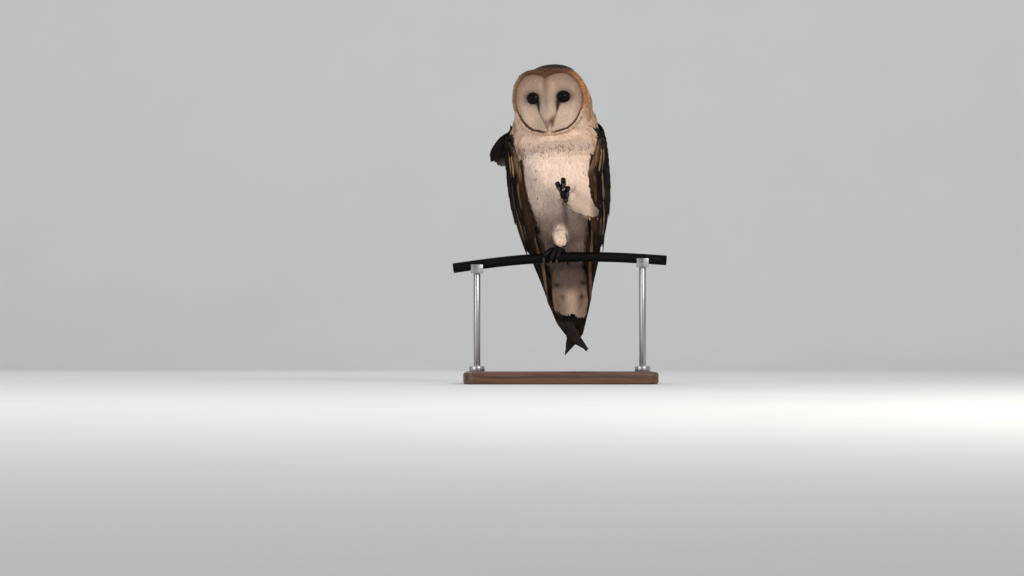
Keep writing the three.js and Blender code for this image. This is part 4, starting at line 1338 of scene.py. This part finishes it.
def make_eyeball(name, at, gaze, material):
    """A dark ball with a clear bulge in front and a slightly browner iris."""
    cornea_radius, cornea_rise = 6.2, 0.9
    turn = np.linspace(0, np.pi, 40)
    radius, height = EYE_RADIUS * np.sin(turn), EYE_RADIUS * np.cos(turn)
    front = height > 0
    cornea = cornea_rise * np.clip(1 - (radius / cornea_radius) ** 2, 0, 1) * front
    iris = smooth(radius, 3.6, 4.4) * (1 - smooth(radius, 5.6, 6.4)) * front
    profile = np.stack([radius, height + cornea], 1)
    paint = layered(np.broadcast_to(srgb(9, 7, 7), (len(turn), 3)), (srgb(22, 15, 12), iris))
    ob = lathe_piece(f"eyeball_{name}", profile, at, gaze, material, paint)
    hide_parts(f"eye_{name}")


def make_lids(name, at, gaze, material):
    """A soft rim that follows the ball round the opening."""
    count, sides = 56, 10
    half_wide, half_high = 5.9, 5.6
    turn = np.linspace(0, 2 * np.pi, count, endpoint=False)
    ring = np.linspace(0, 2 * np.pi, sides, endpoint=False)
    d, a, b = square_axes(gaze)
    across, high = half_wide * np.cos(turn), half_high * np.sin(turn)
    high = np.where(high > 0, high * 0.97, high)
    flat = np.hypot(across, high)
    lift = np.sqrt(EYE_RADIUS ** 2 - flat ** 2) + 0.05
    in_plane = across[:, None] * a - high[:, None] * b
    mid = at + in_plane + lift[:, None] * d
    outward = unit(mid - at)
    sideways = unit(in_plane - (0.2 * flat)[:, None] * d)
    thick = 0.5 + 0.25 * np.clip(np.sin(turn), 0, 1)
    rim = mid[:, None] + outward[:, None] * (np.cos(ring) * 0.35)[None, :, None] \
        + sideways[:, None] * (np.sin(ring)[None] * thick[:, None])[..., None]
    index = np.arange(count * sides).reshape(count, sides)
    after, beside = np.roll(index, -1, 0), np.roll(index, -1, 1)
    quads = np.stack([index, after, np.roll(after, -1, 1), beside], -1).reshape(-1, 4)[:, ::-1]
    ob = mesh_piece(f"eyelids_{name}", to_world(from_head(rim.reshape(-1, 3))), quads, NO_TRIS, material)
    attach(ob, "root")


def make_eyes():
    ball, lid = eye_material(), lid_material()
    for side, name in ((1, "left"), (-1, "right")):
        gaze = (0.12 * side, -1.0, 0.0)
        at = EYE_AT * (side, 1, 1)
        make_eyeball(name, at, gaze, ball)
        make_lids(name, at, gaze, lid)


def bill_material():
    m = Shader("bill_horn", roughness=0.4, Specular_IOR_Level=0.45, Subsurface_Weight=0.08)
    z = m.node("SeparateXYZ", {"Vector": m.place()}).outputs[2]
    tip_z = float(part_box("bill_upper")[0].z)
    above_tip = m.band(z, tip_z, tip_z + 0.016)
    streak = m.band(m.noise(260, 4, spread=(3, 3, 0.5)), 0.35, 0.7)
    tip_horn = m.mixed(streak, srgb(150, 122, 107), srgb(130, 102, 90))
    m.colour(above_tip, tip_horn, m.mixed(streak, srgb(138, 111, 97), srgb(114, 89, 78)))
    m.bump(m.noise(900, 3, spread=(2, 2, 0.4)), 0.25, 0.0002)
    m.vary_roughness(0.3, 0.5, 500)
    return m.material


def front_of(node, x, z):
    """Front of a CAD node in the head's frame at x, z; far back where it isn't."""
    me = NODES[node].data
    tree = tree_of(to_head(to_owl(arrays_of(me))), [tuple(f.vertices) for f in me.polygons])
    return first_met(tree, x, z, -90, 20.0)


def make_bristles():
    """Fine bristles from the crest down over the base of the bill."""
    n = 900
    x, z = RNG.uniform(-5.0, 5.0, n), RNG.uniform(-16.5, 0, n)
    t = np.linspace(0, 1, 5)[None]
    side = np.sign(x) * 0.22 + x * 0.02
    length = RNG.uniform(4.5, 6.0, n) * (1 - 0.25 * smooth(-z, 8, 15))
    px = x[:, None] + (side * length)[:, None] * t * smooth(-z, 3, 14)[:, None]
    pz = z[:, None] - length[:, None] * t
    py = np.minimum(face_depth(px, pz) + 0.4, front_of("bill_upper", px, pz)) - 0.75 - 0.35 * t
    # no station falls far behind the one before it
    py = np.minimum(py, np.where(t > 0, (py + np.roll(py, 1, 1)) / 2, py))
    path = np.stack([px, py, pz], -1)
    along_ = unit(np.gradient(path, axis=1))
    up = square_to(np.stack([px * 0.16, py * 0 - 1, pz * 0 + 0.1], -1), along_)
    half = 0.42 * np.interp(t, [0, 0.3, 0.75, 1], [0.6, 1, 0.8, 0.15])
    ups = up @ HEAD.T
    grid = vanes(from_head(path), np.cross(along_, up) @ HEAD.T, ups, half, 0.08)
    h = to_head(grid)
    tint = layered(face_colour(h), (srgb(150, 124, 108), smooth(-h[..., 2], 13, 20) * 0.6)) * uneven(n, 0.04)
    feather_piece("coat_bristles", grid, ups, tint, roots=from_head(path[:, 0]), wrap=head_wrap)


make_eyes()
make_bristles()
BILL_SHARP = 70
bill = bill_material()
refined("bill_upper", "culmen", bill, BILL_SHARP)
refined("bill_lower", "lower_mandible", bill, BILL_SHARP)

# ------------------------------------------------------------------------------------------------
# Wings: vanes laid on the curved sheet of the folded wing. Each height of the sheet is half an ellipse seen
# from above, and across runs along it from 0 at its front edge to 1 at its back edge. Curves go by height.

OUTSIDE = curve((156, 52.5), (146, 57), (130, 59.5), (110, 60), (90, 60), (65, 58.3), (40, 54), (18, 48.4),
                (5, 44.6), (-10, 39.6), (-30, 32.2), (-55, 25.3), (-75, 16), (-88, 12.5), (-100, 9.5),
                (-108, 5), (-115, 2))
MIDDLE_Y = curve((156, 8), (146, 5), (130, 2), (110, 0), (90, 0), (65, 1), (40, 5), (18, 24), (5, 26),
                 (-10, 30), (-30, 37), (-55, 46), (-75, 55), (-88, 63), (-115, 69))
FRONT_REACH = curve((156, 34), (130, 47), (110, 49), (90, 50), (65, 50), (40, 48), (18, 30), (5, 21),
                    (-10, 21), (-30, 15), (-55, 9), (-75, 6), (-88, 3))
BACK_REACH = curve((156, 34), (146, 41), (130, 47), (110, 51), (90, 53), (65, 54), (40, 53), (18, 36),
                   (5, 33), (-10, 28), (-30, 20), (-55, 13), (-75, 8), (-88, 3), (-115, 1.5))
LOW_ANGLES = ((40, -50), (18, -46), (5, -48), (-10, -47), (-30, -36), (-55, -22), (-75, -10), (-88, 0))
FRONT_ANGLE = {1: curve((156, 12), (146, -8), (130, -35), (110, -45), (90, -54), (65, -55), *LOW_ANGLES),
               -1: curve((156, 12), (146, -8), (130, -35), (110, -41), (90, -43), (65, -44), (40, -48),
                         *LOW_ANGLES[1:])}
BACK_ANGLE = curve((156, 38), (146, 44), (130, 50), (110, 60), (90, 71), (65, 83), (45, 88.6), (-20, 88.6),
                   (-30, 94), (-55, 113), (-75, 152), (-88, 178))
THICKNESS = curve((156, 3), (146, 7), (130, 10), (110, 12), (65, 11), (40, 9.5), (18, 8), (-10, 6.5),
                  (-30, 5), (-55, 4), (-88, 3), (-115, 2))
OVERLAP = curve((-5, 0), (-18, 5), (-30, 8), (-75, 7.8), (-115, 7.5))
TIP_SHIFT = {1: curve((-55, 0), (-75, 3.5), (-88, 2.5), (-100, -1.5), (-108, -5.5), (-115, -9.3)),
             -1: curve((-55, 0), (-75, 2.5), (-88, -2.5), (-95, -6.5), (-102, -10.5), (-107, -16),
                       (-110, -18))}
# how much wider the left wing is below the perch
SPREAD = {1: curve((22, 0), (-4, 2.6), (-55, 3.2), (-88, 3.2), (-100, 1.5), (-108, 0)),
          -1: curve((0, 0), (1, 0))}


def wing_sheet(side, across, z):
    """Points of the outer face of the wing on a side (1 for the owl's left), and the way out of it."""
    across, z = np.broadcast_arrays(across, z)
    angle = np.radians(mix(FRONT_ANGLE[side](z), BACK_ANGLE(z), across))
    c, s = np.cos(angle), np.sin(angle)
    reach = np.where(angle < 0, FRONT_REACH(z), BACK_REACH(z))
    over = OVERLAP(z) if side > 0 else 0 * z
    x = (OUTSIDE(z) + SPREAD[side](z)) * c + TIP_SHIFT[side](z)
    y = MIDDLE_Y(z) + (reach + np.maximum(0, s) * over) * s + np.where(z < -75, over * 0.8, 0)
    out = unit(np.stack([side * c * reach, s * OUTSIDE(z), 0 * z], -1))
    return np.stack([side * x, y, z], -1), out


STEPS = np.array([0, 0.14, 0.3, 0.48, 0.64, 0.77, 0.87, 0.935, 0.98, 1.0])
ALONG = STEPS[None, :, None]
BESIDE = np.linspace(-1, 1, 5)[None, None]
MIDDLE = 2  # the shaft's place among the five points across


def vane_width(t, rounding):
    """Half width along a vane: it widens from the root, stays even, and ends round."""
    end = np.clip((t - rounding) / (1 - rounding), 0, 1)
    return np.minimum(1, 0.4 + 2.4 * t) * np.sqrt(np.maximum(1 - end ** 2, 0.012))


def quills(side, tip, across, length, half, out=(-0.8, 0.9), drift=0.0, rounding=0.7, crown=0.35, deep=0.0):
    """Vanes that end at the heights tip; drift is how far across their roots lie from their tips, out how far
    off the sheet root and tip lie, and deep how far into the wing's thickness. Also gives their places."""
    tip, across, length, half, drift, deep = (np.broadcast_to(v, np.shape(tip)).astype(float)[:, None, None]
                                              for v in (tip, across, length, half, drift, deep))
    z = tip + length * (1 - ALONG)
    a = across + drift * (1 - ALONG)
    beside, before = wing_sheet(side, a + 0.01, z)[0], wing_sheet(side, a - 0.01, z)[0]
    arc = np.linalg.norm(beside - before, axis=-1) / 0.02
    back_edge = 1.05 if side > 0 else 1.02
    a = np.clip(a + BESIDE * half * vane_width(ALONG, rounding) / np.maximum(arc, 4), -0.02, back_edge)
    z = z + 0 * BESIDE + 0.12 * half * (BESIDE ** 2) * (ALONG < 0.9)
    points, way = wing_sheet(side, a, z)
    lift = mix(*out, ALONG) - deep * THICKNESS(z) + crown * (1 - BESIDE ** 2)
    return points + way * lift[..., None], way, a


FRONT_DARK = srgb(15, 11, 9)
OCHRE = srgb(82, 51, 29)
EDGE = srgb(104, 81, 62)


def rear_tint(grid, rim, fleck, cloud, bar, bars):
    """Golden with grey veils: bars on the flight feathers, a dot and a pearl at the tip of the others."""
    dot = bell(np.hypot(BESIDE / 0.42, (ALONG - 0.84) / 0.05)) * (bars == 0)
    pearl = bell(np.hypot(BESIDE / 0.36, (ALONG - 0.93) / 0.035)) * (bars == 0)
    return painted(
        grid, GILT,
        (VEIL_GREY, smooth(fleck, 0.35, 0.7) * (0.4 + 0.5 * cloud)),
        (srgb(82, 70, 62), bar * 0.6),
        (srgb(196, 162, 122), rim * 0.3),
        (DOT, dot * 0.85),
        (srgb(232, 226, 216), pearl * 0.9))


def wing_tint(grid, a, edge, rust=0.0, bars=0.0, pale=0.0):
    """Dark umber with pale edges in front; golden with grey veils, bars and pearls behind."""
    edge, rust, pale = (np.broadcast_to(v, len(grid))[:, None, None] for v in (edge, rust, pale))
    z = grid[..., 2]
    fleck, cloud = noise(grid * (1, 1, 0.4), 1.7, 8), noise(grid, 7, 9)
    back = smooth(a + 0.15 * (cloud - 0.5), 0.50, 0.72) * (1 - 0.7 * smooth(-z, 30, 60))
    rim = smooth(np.abs(BESIDE), 0.55, 1.0) * (BESIDE < 0.2) + 0.45 * smooth(BESIDE, 0.7, 1.0)
    bar = smooth(np.sin((z + 3 * np.abs(BESIDE)) * 2 * np.pi / 17), 0.55, 0.95) * bars
    hem = (1 - smooth(a, 0.012, 0.05)) * smooth(z, 86, 102) * (1 - smooth(z, 122, 132))
    return painted(
        grid, FRONT_DARK,
        (OCHRE, rust * (1 - smooth(a, 0.02, 0.11)) * (0.5 + 0.5 * cloud)),
        (srgb(42, 30, 23), smooth(cloud, 0.5, 0.8) * 0.5),
        (EDGE, rim * edge * (0.55 + 0.45 * fleck) * (1 - 0.5 * smooth(a, 0.12, 0.3))),
        (srgb(66, 52, 43), bar * 0.3),
        (srgb(160, 126, 98), pale * (0.4 + 0.6 * cloud)),
        (srgb(94, 72, 52), smooth(a, 0.40, 0.58) * (0.5 + 0.4 * fleck)),
        (srgb(150, 114, 88), hem * (0.35 + 0.5 * fleck)),
        (rear_tint(grid, rim, fleck, cloud, bar, bars), back),
        # painted shadow: greyer and darker towards the wing tips below
        (srgb(30, 28, 29), smooth(-z, 58, 84) * 0.75)) * uneven(len(grid), 0.07)


def columns(spacing, side, z, low, high):
    """Places across, about a spacing apart, at a height."""
    a = np.linspace(low, high, 60)
    p, _ = wing_sheet(side, a, np.full(60, float(z)))
    arc = np.concatenate([[0], np.cumsum(np.linalg.norm(np.diff(p, axis=0), axis=1))])
    count = max(2, int(round(arc[-1] / spacing)))
    return np.interp(np.linspace(0, arc[-1], count), arc, a)


def rows(side, tips, spacing, length, half, low=0.0, high=1.0, edge=0.4, rust=0.0, pale=0.0, **form):
    """Several staggered rows of wing vanes between two places across: grid, ways out and tints."""
    tip, across = [], []
    for i, z in enumerate(tips):
        places = columns(spacing, side, z + length * 0.3, low, high)
        across.append(places + i % 2 / 2 * np.mean(np.diff(places)))
        tip.append(z + RNG.normal(0, 0.7, len(places)))
    tip, across = np.concatenate(tip), np.clip(np.concatenate(across), low, high)
    grid, way, a = quills(side, tip, across, length, half, **form)
    edges, rusts, pales = (share * RNG.uniform(least, most, len(tip))
                           for share, least, most in ((edge, 0.3, 1.6), (rust, 0.6, 1.3), (pale, 0.35, 1.0)))
    return grid, way, wing_tint(grid, a, np.clip(edges, 0, 1), np.clip(rusts, 0, 1), pale=pales)


def fan(side, tip, across, length, half, edge, rust=0.0, bars=1.0, pale=0.0, **form):
    """One rank of vanes with a place for each: grid, ways out and tints."""
    grid, way, a = quills(side, tip, across, length, half, **form)
    return grid, way, wing_tint(grid, a, edge, rust, bars, pale)


def vane_piece(name, parts, material=WING_FEATHER, replaced=None):
    grid, way, tint = (np.concatenate(v) for v in zip(*parts))
    ob = feather_piece(name, grid, way[:, :, MIDDLE], np.clip(tint, 0, 1), material)
    if replaced:
        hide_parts(replaced)


def make_coverts(side, name):
    lesser = rows(side, np.arange(147, 103, -6.5), 4.6, 13, 3.7, out=(-0.6, 0.9), edge=0.25, rounding=0.5)
    median = rows(side, (98, 88), 5.6, 21, 4.6, out=(-0.9, 0.7), low=0.12, rounding=0.55)
    greater = rows(side, (78, 66), 6.4, 36, 5.2, low=0.34, out=(-1.2, 0.4), edge=0.5)
    alula = rows(side, (92, 76, 60, 44), 4.6, 40, 3.0, low=0.12, high=0.40, out=(-1.0, 0.6), edge=1.0,
                 rounding=0.8)
    front = rows(side, (120, 104, 88, 72, 56, 40, 24, 8), 5.0, 34, 3.6, high=0.13, out=(-0.5, 1.0), edge=0.3,
                 rust=1.0, rounding=0.75)
    streaks = rows(side, (104, 96, 60, 22), 9, 40, 1.7, low=0.055, high=0.16, out=(0.2, 1.3), edge=1.0,
                   pale=1.0, rounding=0.8)
    shoulder = rows(side, (106, 99), 7, 32, 1.0, low=0.01, high=0.05, out=(0.6, 1.7), edge=0.8, pale=0.7,
                    rounding=0.8)
    vane_piece(f"wing_coverts_{name}", [lesser, median, greater, alula, front, streaks, shoulder])


def make_secondaries(side, name):
    count = 13
    j = np.linspace(0, 1, count)
    form = {"out": (-1.2, -2.0), "drift": 0.02, "rounding": 0.86, "deep": 0.06 * (1 - j)}
    grid, way, a = quills(side, mix(22, -8, j), 0.10 + 0.88 * j, 78, 7.2, **form)
    secondaries = grid, way, wing_tint(grid, a, RNG.uniform(0.4, 1.0, count), 0.1, bars=1.0)
    count = 8
    k = np.linspace(0, 1, count)
    primary_coverts = fan(side, mix(28, 0, k), 0.02 + 0.36 * k, 50, 2.9, RNG.uniform(0.6, 1.0, count),
                          mix(0.5, 0.0, k), 0.0, out=(-0.8, -0.9), rounding=0.84)
    tertials = fan(side, (14, 2, -9, -24, -38), (0.84, 0.92, 0.98, 0.985, 0.99), 62, (8.5, 8.5, 8.5, 8, 7),
                   0.5, out=(-0.9, 0.2), rounding=0.84)
    vane_piece(f"wing_secondaries_{name}", [secondaries, primary_coverts, tertials])


def make_primaries(side, name):
    tips = np.array([-98, -112, -115 if side > 0 else -109, -108, -98, -86, -74, -62, -50, -40])
    m = np.linspace(0, 1, len(tips))
    tip_across, root_across = mix(0.25, 0.86, m), 0.02 + 0.96 * m
    primaries = fan(side, tips, tip_across, 40 - tips, 8.5, mix(0.6, 0.3, m), out=(0.0, 0.0), rounding=0.9,
                    drift=root_across - tip_across, deep=mix(0.86, 0.10, m), crown=0.2)
    leading = fan(side, (-2, -20, -38, -54), 0.015, 46, 1.9, 1.0, 0.3, 0.0, 0.75, out=(-1.0, -0.2),
                  rounding=0.85, deep=0.3)
    vane_piece(f"wing_primaries_{name}", [primaries, leading], replaced=f"wing_{name}_primaries")


for side, name in ((1, "left"), (-1, "right")):
    make_coverts(side, name)
    make_secondaries(side, name)
    make_primaries(side, name)


def mantle_paint(grid):
    """The veil over golden feathers, with a dark dot and a pearl at the tips of some."""
    t, s = np.linspace(0, 1, grid.shape[1])[None, :, None], np.linspace(-1, 1, grid.shape[2])[None, None]
    some = (RNG.random((len(grid), 1, 1)) < 0.5) * 0.85
    return layered(
        veil(grid),
        (srgb(206, 172, 130), smooth(np.abs(s), 0.6, 1.0) * smooth(t, 0.5, 0.9) * 0.25),
        (DOT, bell(np.hypot(s / 0.5, (t - 0.8) / 0.1)) * some),
        (srgb(226, 220, 212), bell(np.hypot(s / 0.45, (t - 1.0) / 0.08)) * some))


def over_wings(p, r):
    """Where the shoulder feathers root, on the wings' inner back."""
    inner = np.abs(p[:, 0]) < 20 + 0.25 * (p[:, 2] - 60)
    return is_region(r, "wing") & (p[:, 1] > 20) & (p[:, 2] > 62) & (p[:, 2] < 150) & inner


BACK_FEATHER = {"k": 5, "profile": lambda t: vane_width(t, 0.6), "paint": mantle_paint,
                "material": WING_FEATHER}
coat("coat_mantle", 3.6, lambda p, r: is_region(r, "trunk", "neck") & on_back(p), 17, 3.6,
     raised(1.0, 1.9, -0.2, 0.3), stations=6, crown=0.35, wild=0.08, **BACK_FEATHER)
coat("coat_scapulars", 7.0, over_wings, 26, 6.0, raised(2.2, 1.5, -0.2, 0.3), stations=7, crown=0.5,
     wild=0.06, **BACK_FEATHER)

# ------------------------------------------------------------------------------------------------
# Shoulder tuft, tail and the feathers under it


def flat_vanes(root, tip, half, facing, bend, depth):
    """Vanes from root to tip in planes that look along facing; bend bows them, depth sets the planes."""
    root, tip, facing = (np.array(v, float) for v in (root, tip, facing))
    half, depth = np.reshape(half, (-1, 1, 1)), np.reshape(depth, (-1, 1, 1))
    across = unit(np.cross(tip - root, facing))[:, None]
    bow = np.reshape(bend, (-1, 1)) * 4 * STEPS * (1 - STEPS)
    middle = root[:, None] + (tip - root)[:, None] * ALONG + across * bow[..., None]
    off = half * vane_width(ALONG, 0.75) * BESIDE
    bulge = 0.3 * (1 - BESIDE ** 2)
    up = np.broadcast_to(facing, (*off.shape, 3))
    return middle[:, :, None] + across[:, None] * off[..., None] + up * (depth + bulge)[..., None], up


def make_tuft():
    """The loose feathers that stand off the right shoulder."""
    roots = [(-54, 14, 152), (-55, 14, 150), (-56, 14, 147), (-56, 14, 143), (-56.5, 14, 139), (-57, 14, 135),
             (-57, 14, 130)]
    tips = [(-77.5, 14, 125), (-77, 14, 120), (-72.5, 14, 119), (-69, 14, 115), (-65.5, 14, 113.5),
            (-62, 14, 113.5), (-59, 14, 117)]
    halves, bends = [3.2, 3.6, 3.6, 3.8, 3.6, 3.2, 2.8], [2.4, 2.0, 1.5, 1, 0.6, 0.3, 0]
    grid, way = flat_vanes(roots, tips, halves, (0, -1, 0), bends, np.linspace(1.4, -1.6, len(roots)))
    pale = smooth(grid[..., 0], -77, -62) * smooth(-grid[..., 2], -127, -115)
    streak = smooth(noise(grid * (1, 1, 0.3), 1.8, 12), 0.55, 0.8)
    tint = painted(grid, srgb(24, 20, 18), (srgb(70, 56, 49), streak * 0.4),
                   (srgb(138, 114, 105), pale * 0.85))
    vane_piece("shoulder_tuft", [(grid, way, tint)], replaced="wing_right_shoulder_tuft")


TAIL_HALF = curve((-6, 15.5), (-30, 20.8), (-45, 19.4), (-55, 17.2), (-68, 14), (-73, 11.5), (-75, 8))
TAIL_Y = curve((-6, 43), (-30, 45.6), (-55, 49.6), (-75, 54.6))


def tail_vanes(x_root, x_tip, top, tip, half, y_off):
    """Vanes from top to tip in the sheet of the tail, no wider than it; y_off moves each back."""
    given = np.broadcast_arrays(x_root, x_tip, top, tip, half, y_off)
    x_root, x_tip, top, tip, half, y_off = (np.reshape(v, (-1, 1, 1)).astype(float) for v in given)
    z = mix(top, tip, ALONG) + 0.1 * half * BESIDE ** 2 * (ALONG < 0.9)
    wide = TAIL_HALF(z) + 0.6
    x = np.clip(mix(x_root, x_tip, ALONG) + BESIDE * half * vane_width(ALONG, 0.88), -wide, wide)
    y = TAIL_Y(z) + y_off - 1.6 * (x / wide) ** 2 - 0.25 * (1 - BESIDE ** 2)
    way = unit(np.stack([-0.08 * x, 0 * x - 1, 0 * x - 0.2], -1))
    return np.stack([x, y, z], -1), way


def make_tail():
    """Six pairs of tail feathers, barred, with their ends darkened by painted shadow."""
    pairs = 6
    rank = np.repeat(np.arange(pairs), 2)
    side = np.tile([1, -1], pairs)
    grid, way = tail_vanes(side * (1 + 1.2 * rank), side * (1.6 + 2.5 * rank), 12, -75 + 1.1 * rank, 7.4,
                           1.7 - 3.2 * (rank + 0.4 * (side < 0)) / pairs)
    x, z = grid[..., 0], grid[..., 2]
    bars = smooth(np.sin((z + 6 + 2 * np.abs(BESIDE)) * 2 * np.pi / 15), 0.5, 0.9)
    streak = smooth(noise(grid * (1, 1, 0.2), 2, 13), 0.55, 0.8)
    tint = painted(
        grid, srgb(186, 160, 142),
        (srgb(206, 178, 158), smooth(np.abs(x), 9, 17) * 0.6),
        (srgb(112, 90, 78), bars * 0.45),
        (srgb(120, 96, 82), bell(BESIDE / 0.14) * 0.5),
        (srgb(104, 84, 72), streak * 0.4))
    # painted shadow: the ends of the tail feathers near-black
    tint = layered(tint * 0.8, (srgb(17, 13, 11), smooth(-z, 60, 67)))
    vane_piece("tail_feathers", [(grid, way, tint)], BODY_FEATHER, "tail")


def undertail_y(x, z):
    """Front of the soft feathers under the tail: they bulge in the middle and thin out towards its end."""
    bulge = 5.2 * bell((x - 1.5) / 11.5) * (1 - smooth(-z, 48, 71))
    return TAIL_Y(z) - 2.6 - 1.6 * ((x - 1.5) / 20) ** 2 - bulge


def undertail_edge(x, z):
    """Half the width covered by those feathers, more on the owl's left."""
    return TAIL_HALF(z) + 6.0 * (x > 0) * smooth(-z, 2, 18)


def undertail_form(x, z):
    """Where the middles of those feathers lie, and nothing beside them."""
    return np.where(np.abs(x) < undertail_edge(x, z) - 1.5, undertail_y(x, z) + 0.6, NOTHING_Y)


def make_undertail():
    front = Front((-26, 26), (-74, 4), 0.45, undertail_form)
    n = 3300
    x, z = RNG.uniform(-17, 24, n), RNG.uniform(-62, -10, n)
    hem = -58.5 + 8 * (np.minimum(x - 2, 0) / 17) ** 2 - 2.5 * smooth(x, 6, 14) + 3.5 * bell((x - 3) / 4.5)
    keep = (z > hem) & (np.abs(x) < undertail_edge(x, z) - 2.5)
    x, z = x[keep], z[keep]
    heading = np.stack([-0.012 * x, 0 * x - 1], -1)
    length = RNG.uniform(9, 12, len(x))
    drape("undertail_coverts", front, x, z, heading, length, 1.8, undertail_colour, (0.2, 1.2))


make_tuft()
make_tail()
make_undertail()

# ------------------------------------------------------------------------------------------------
# Toes, claws, perch and stand


def toe_material():
    m = Shader("toe_skin", roughness=0.55, Specular_IOR_Level=0.2)
    scales = m.node("TexVoronoi", {"Vector": m.place(), "Scale": 900.0}).outputs[0]
    m.colour(m.noise(700, 3), srgb(7, 6, 6), srgb(14, 12, 11))
    m.bump(m.math("ADD", scales, m.math("MULTIPLY", m.noise(2500, 3), 0.3)), 0.6, 0.0003)
    m.vary_roughness(0.45, 0.7, 500)
    return m.material


def claw_material():
    m = Shader("claw_horn", roughness=0.3, Specular_IOR_Level=0.5)
    m.colour(m.band(m.noise(500, 4), 0.3, 0.7), srgb(16, 14, 14), srgb(40, 34, 32))
    m.bump(m.noise(1800, 3), 0.2, 0.0001)
    m.vary_roughness(0.22, 0.4, 600)
    return m.material


def rod_material():
    m = Shader("weathered_rod", roughness=0.5, Specular_IOR_Level=0.1)
    m.colour(m.band(m.noise(90, 6, 0.65), 0.56, 0.7), srgb(5, 5, 5), srgb(17, 12, 10))
    m.bump(m.noise(700, 5), 0.35, 0.0003)
    m.vary_roughness(0.4, 0.68, 140)
    return m.material


def steel_material():
    m = Shader("brushed_steel", roughness=0.32, Metallic=1.0)
    brushed = m.noise(220, 4, spread=(1, 1, 0.06))
    m.colour(m.band(brushed, 0.3, 0.7), srgb(150, 151, 153), srgb(184, 184, 184))
    m.bump(brushed, 0.12, 0.0001)
    m.link(m.band(brushed, 0.3, 0.7, 0.26, 0.42), "Roughness")
    return m.material


def wood_material():
    m = Shader("dark_wood", roughness=0.42, Specular_IOR_Level=0.4, Coat_Weight=0.15, Coat_Roughness=0.25)
    bent = m.noise(5, 5, 0.6, spread=(0.35, 6, 6))
    rings = m.math("SINE", m.math("MULTIPLY", bent, 46.0))
    pores = m.band(m.noise(420, 4, spread=(0.06, 1, 1)), 0.55, 0.7)
    grain = m.mixed(m.band(rings, -1, 1), srgb(70, 44, 30), srgb(104, 68, 46))
    m.colour(m.math("MULTIPLY", pores, 0.5), grain, srgb(42, 27, 20))
    m.bump(m.math("ADD", pores, m.math("MULTIPLY", rings, 0.2)), 0.15, 0.0003)
    m.vary_roughness(0.34, 0.52, 60)
    return m.material


def bevelled(node, name, material, width):
    """A CAD node with its edges broken."""
    bm = welded(node)
    bmesh.ops.dissolve_limit(bm, angle_limit=math.radians(1), verts=bm.verts, edges=bm.edges)
    ob = linked(name, mesh_of(bm, name))
    mod = ob.modifiers.new("edges", "BEVEL")
    mod.width, mod.segments, mod.limit_method, mod.angle_limit = width, 2, "ANGLE", math.radians(40)
    stands_for(ob, node, material)


TOE_SHARP, ROD_SHARP = 80, 50
TOE_SWELL = 0.0003
toe, claw = toe_material(), claw_material()
for side in ("left", "right"):
    refined(f"foot_{side}", f"sole_{side}", toe, TOE_SHARP, TOE_SWELL)
    for digit in ("inner", "middle", "outer", "hind"):
        refined(f"foot_{side}_{digit}_toe", f"toe_{side}_{digit}", toe, TOE_SHARP, TOE_SWELL)
        refined(f"foot_{side}_{digit}_claw", f"claw_{side}_{digit}", claw, TOE_SHARP)
refined("perch", "rod", rod_material(), ROD_SHARP)
steel = steel_material()
bevelled("stand_base", "base_board", wood_material(), 0.0008)
for side in ("left", "right"):
    for piece, width in (("collar", 0.0006), ("post", 0.0003), ("saddle", 0.0006)):
        bevelled(f"stand_{piece}_{side}", f"{piece}_{side}", steel, width)

# ------------------------------------------------------------------------------------------------
# Floor, light and camera


def floor_material():
    m = Shader("pale_floor", roughness=0.9)
    m.colour(m.noise(6, 2), (0.93, 0.93, 0.92), (0.95, 0.95, 0.94))
    m.bump(m.noise(300, 2), 0.05, 0.0005)
    return m.material


def make_floor():
    """A floor that turns up into a backdrop far behind the object."""
    reach, bend_y, bend, top = 6.0, 2.2, 0.8, 5.0
    turns = np.radians(np.arange(6, 91, 6))
    arc = [(bend_y + bend * math.sin(a), bend - bend * math.cos(a)) for a in turns]
    section = [(-reach, 0.0), (bend_y, 0.0), *arc, (bend_y + bend, top)]
    verts = [(x, y, z) for y, z in section for x in (-reach, reach)]
    quads = [(2 * i, 2 * i + 1, 2 * i + 3, 2 * i + 2) for i in range(len(section) - 1)]
    mesh_piece("floor", verts, quads, NO_TRIS, floor_material())


def aimed(name, data, place, target):
    """A lamp or camera at a place that looks at a target."""
    ob = linked(name, data)
    ob.location = place
    ob.rotation_mode = "QUATERNION"
    ob.rotation_quaternion = (Vector(target) - ob.location).to_track_quat("-Z", "Y")
    return ob


def area_lamp(name, place, target, size, power, colour=(1, 1, 1)):
    data = bpy.data.lights.new(name, "AREA")
    data.size, data.energy, data.color = size, power, colour
    aimed(name, data, place, target)


def make_light():
    world = bpy.data.worlds.new("studio")
    world.use_nodes = True
    back = world.node_tree.nodes["Background"]
    back.inputs[0].default_value = (0.93, 0.96, 1.0, 1)
    back.inputs[1].default_value = 0.5
    SCENE.world = world
    area_lamp("key", (1.1, -1.8, 1.0), (0, 0, 0.22), 0.9, 23.5, (1, 0.965, 0.92))
    area_lamp("fill", (-1.6, -1.4, 0.5), (0, 0, 0.2), 1.2, 13, (0.95, 0.97, 1))
    area_lamp("back", (-0.6, 1.5, 1.5), (0, 0, 0.25), 0.9, 5)


def make_camera():
    data = bpy.data.cameras.new("camera")
    data.lens, data.sensor_width = 96.0, 36.0
    data.clip_start, data.clip_end = 0.01, 50
    bpy.context.scene.camera = aimed("camera", data, (-0.056, -3.2, 0.04), (-0.056, 0.0, 0.112))


make_floor()
make_light()
make_camera()
SCENE.view_settings.view_transform = "Standard"
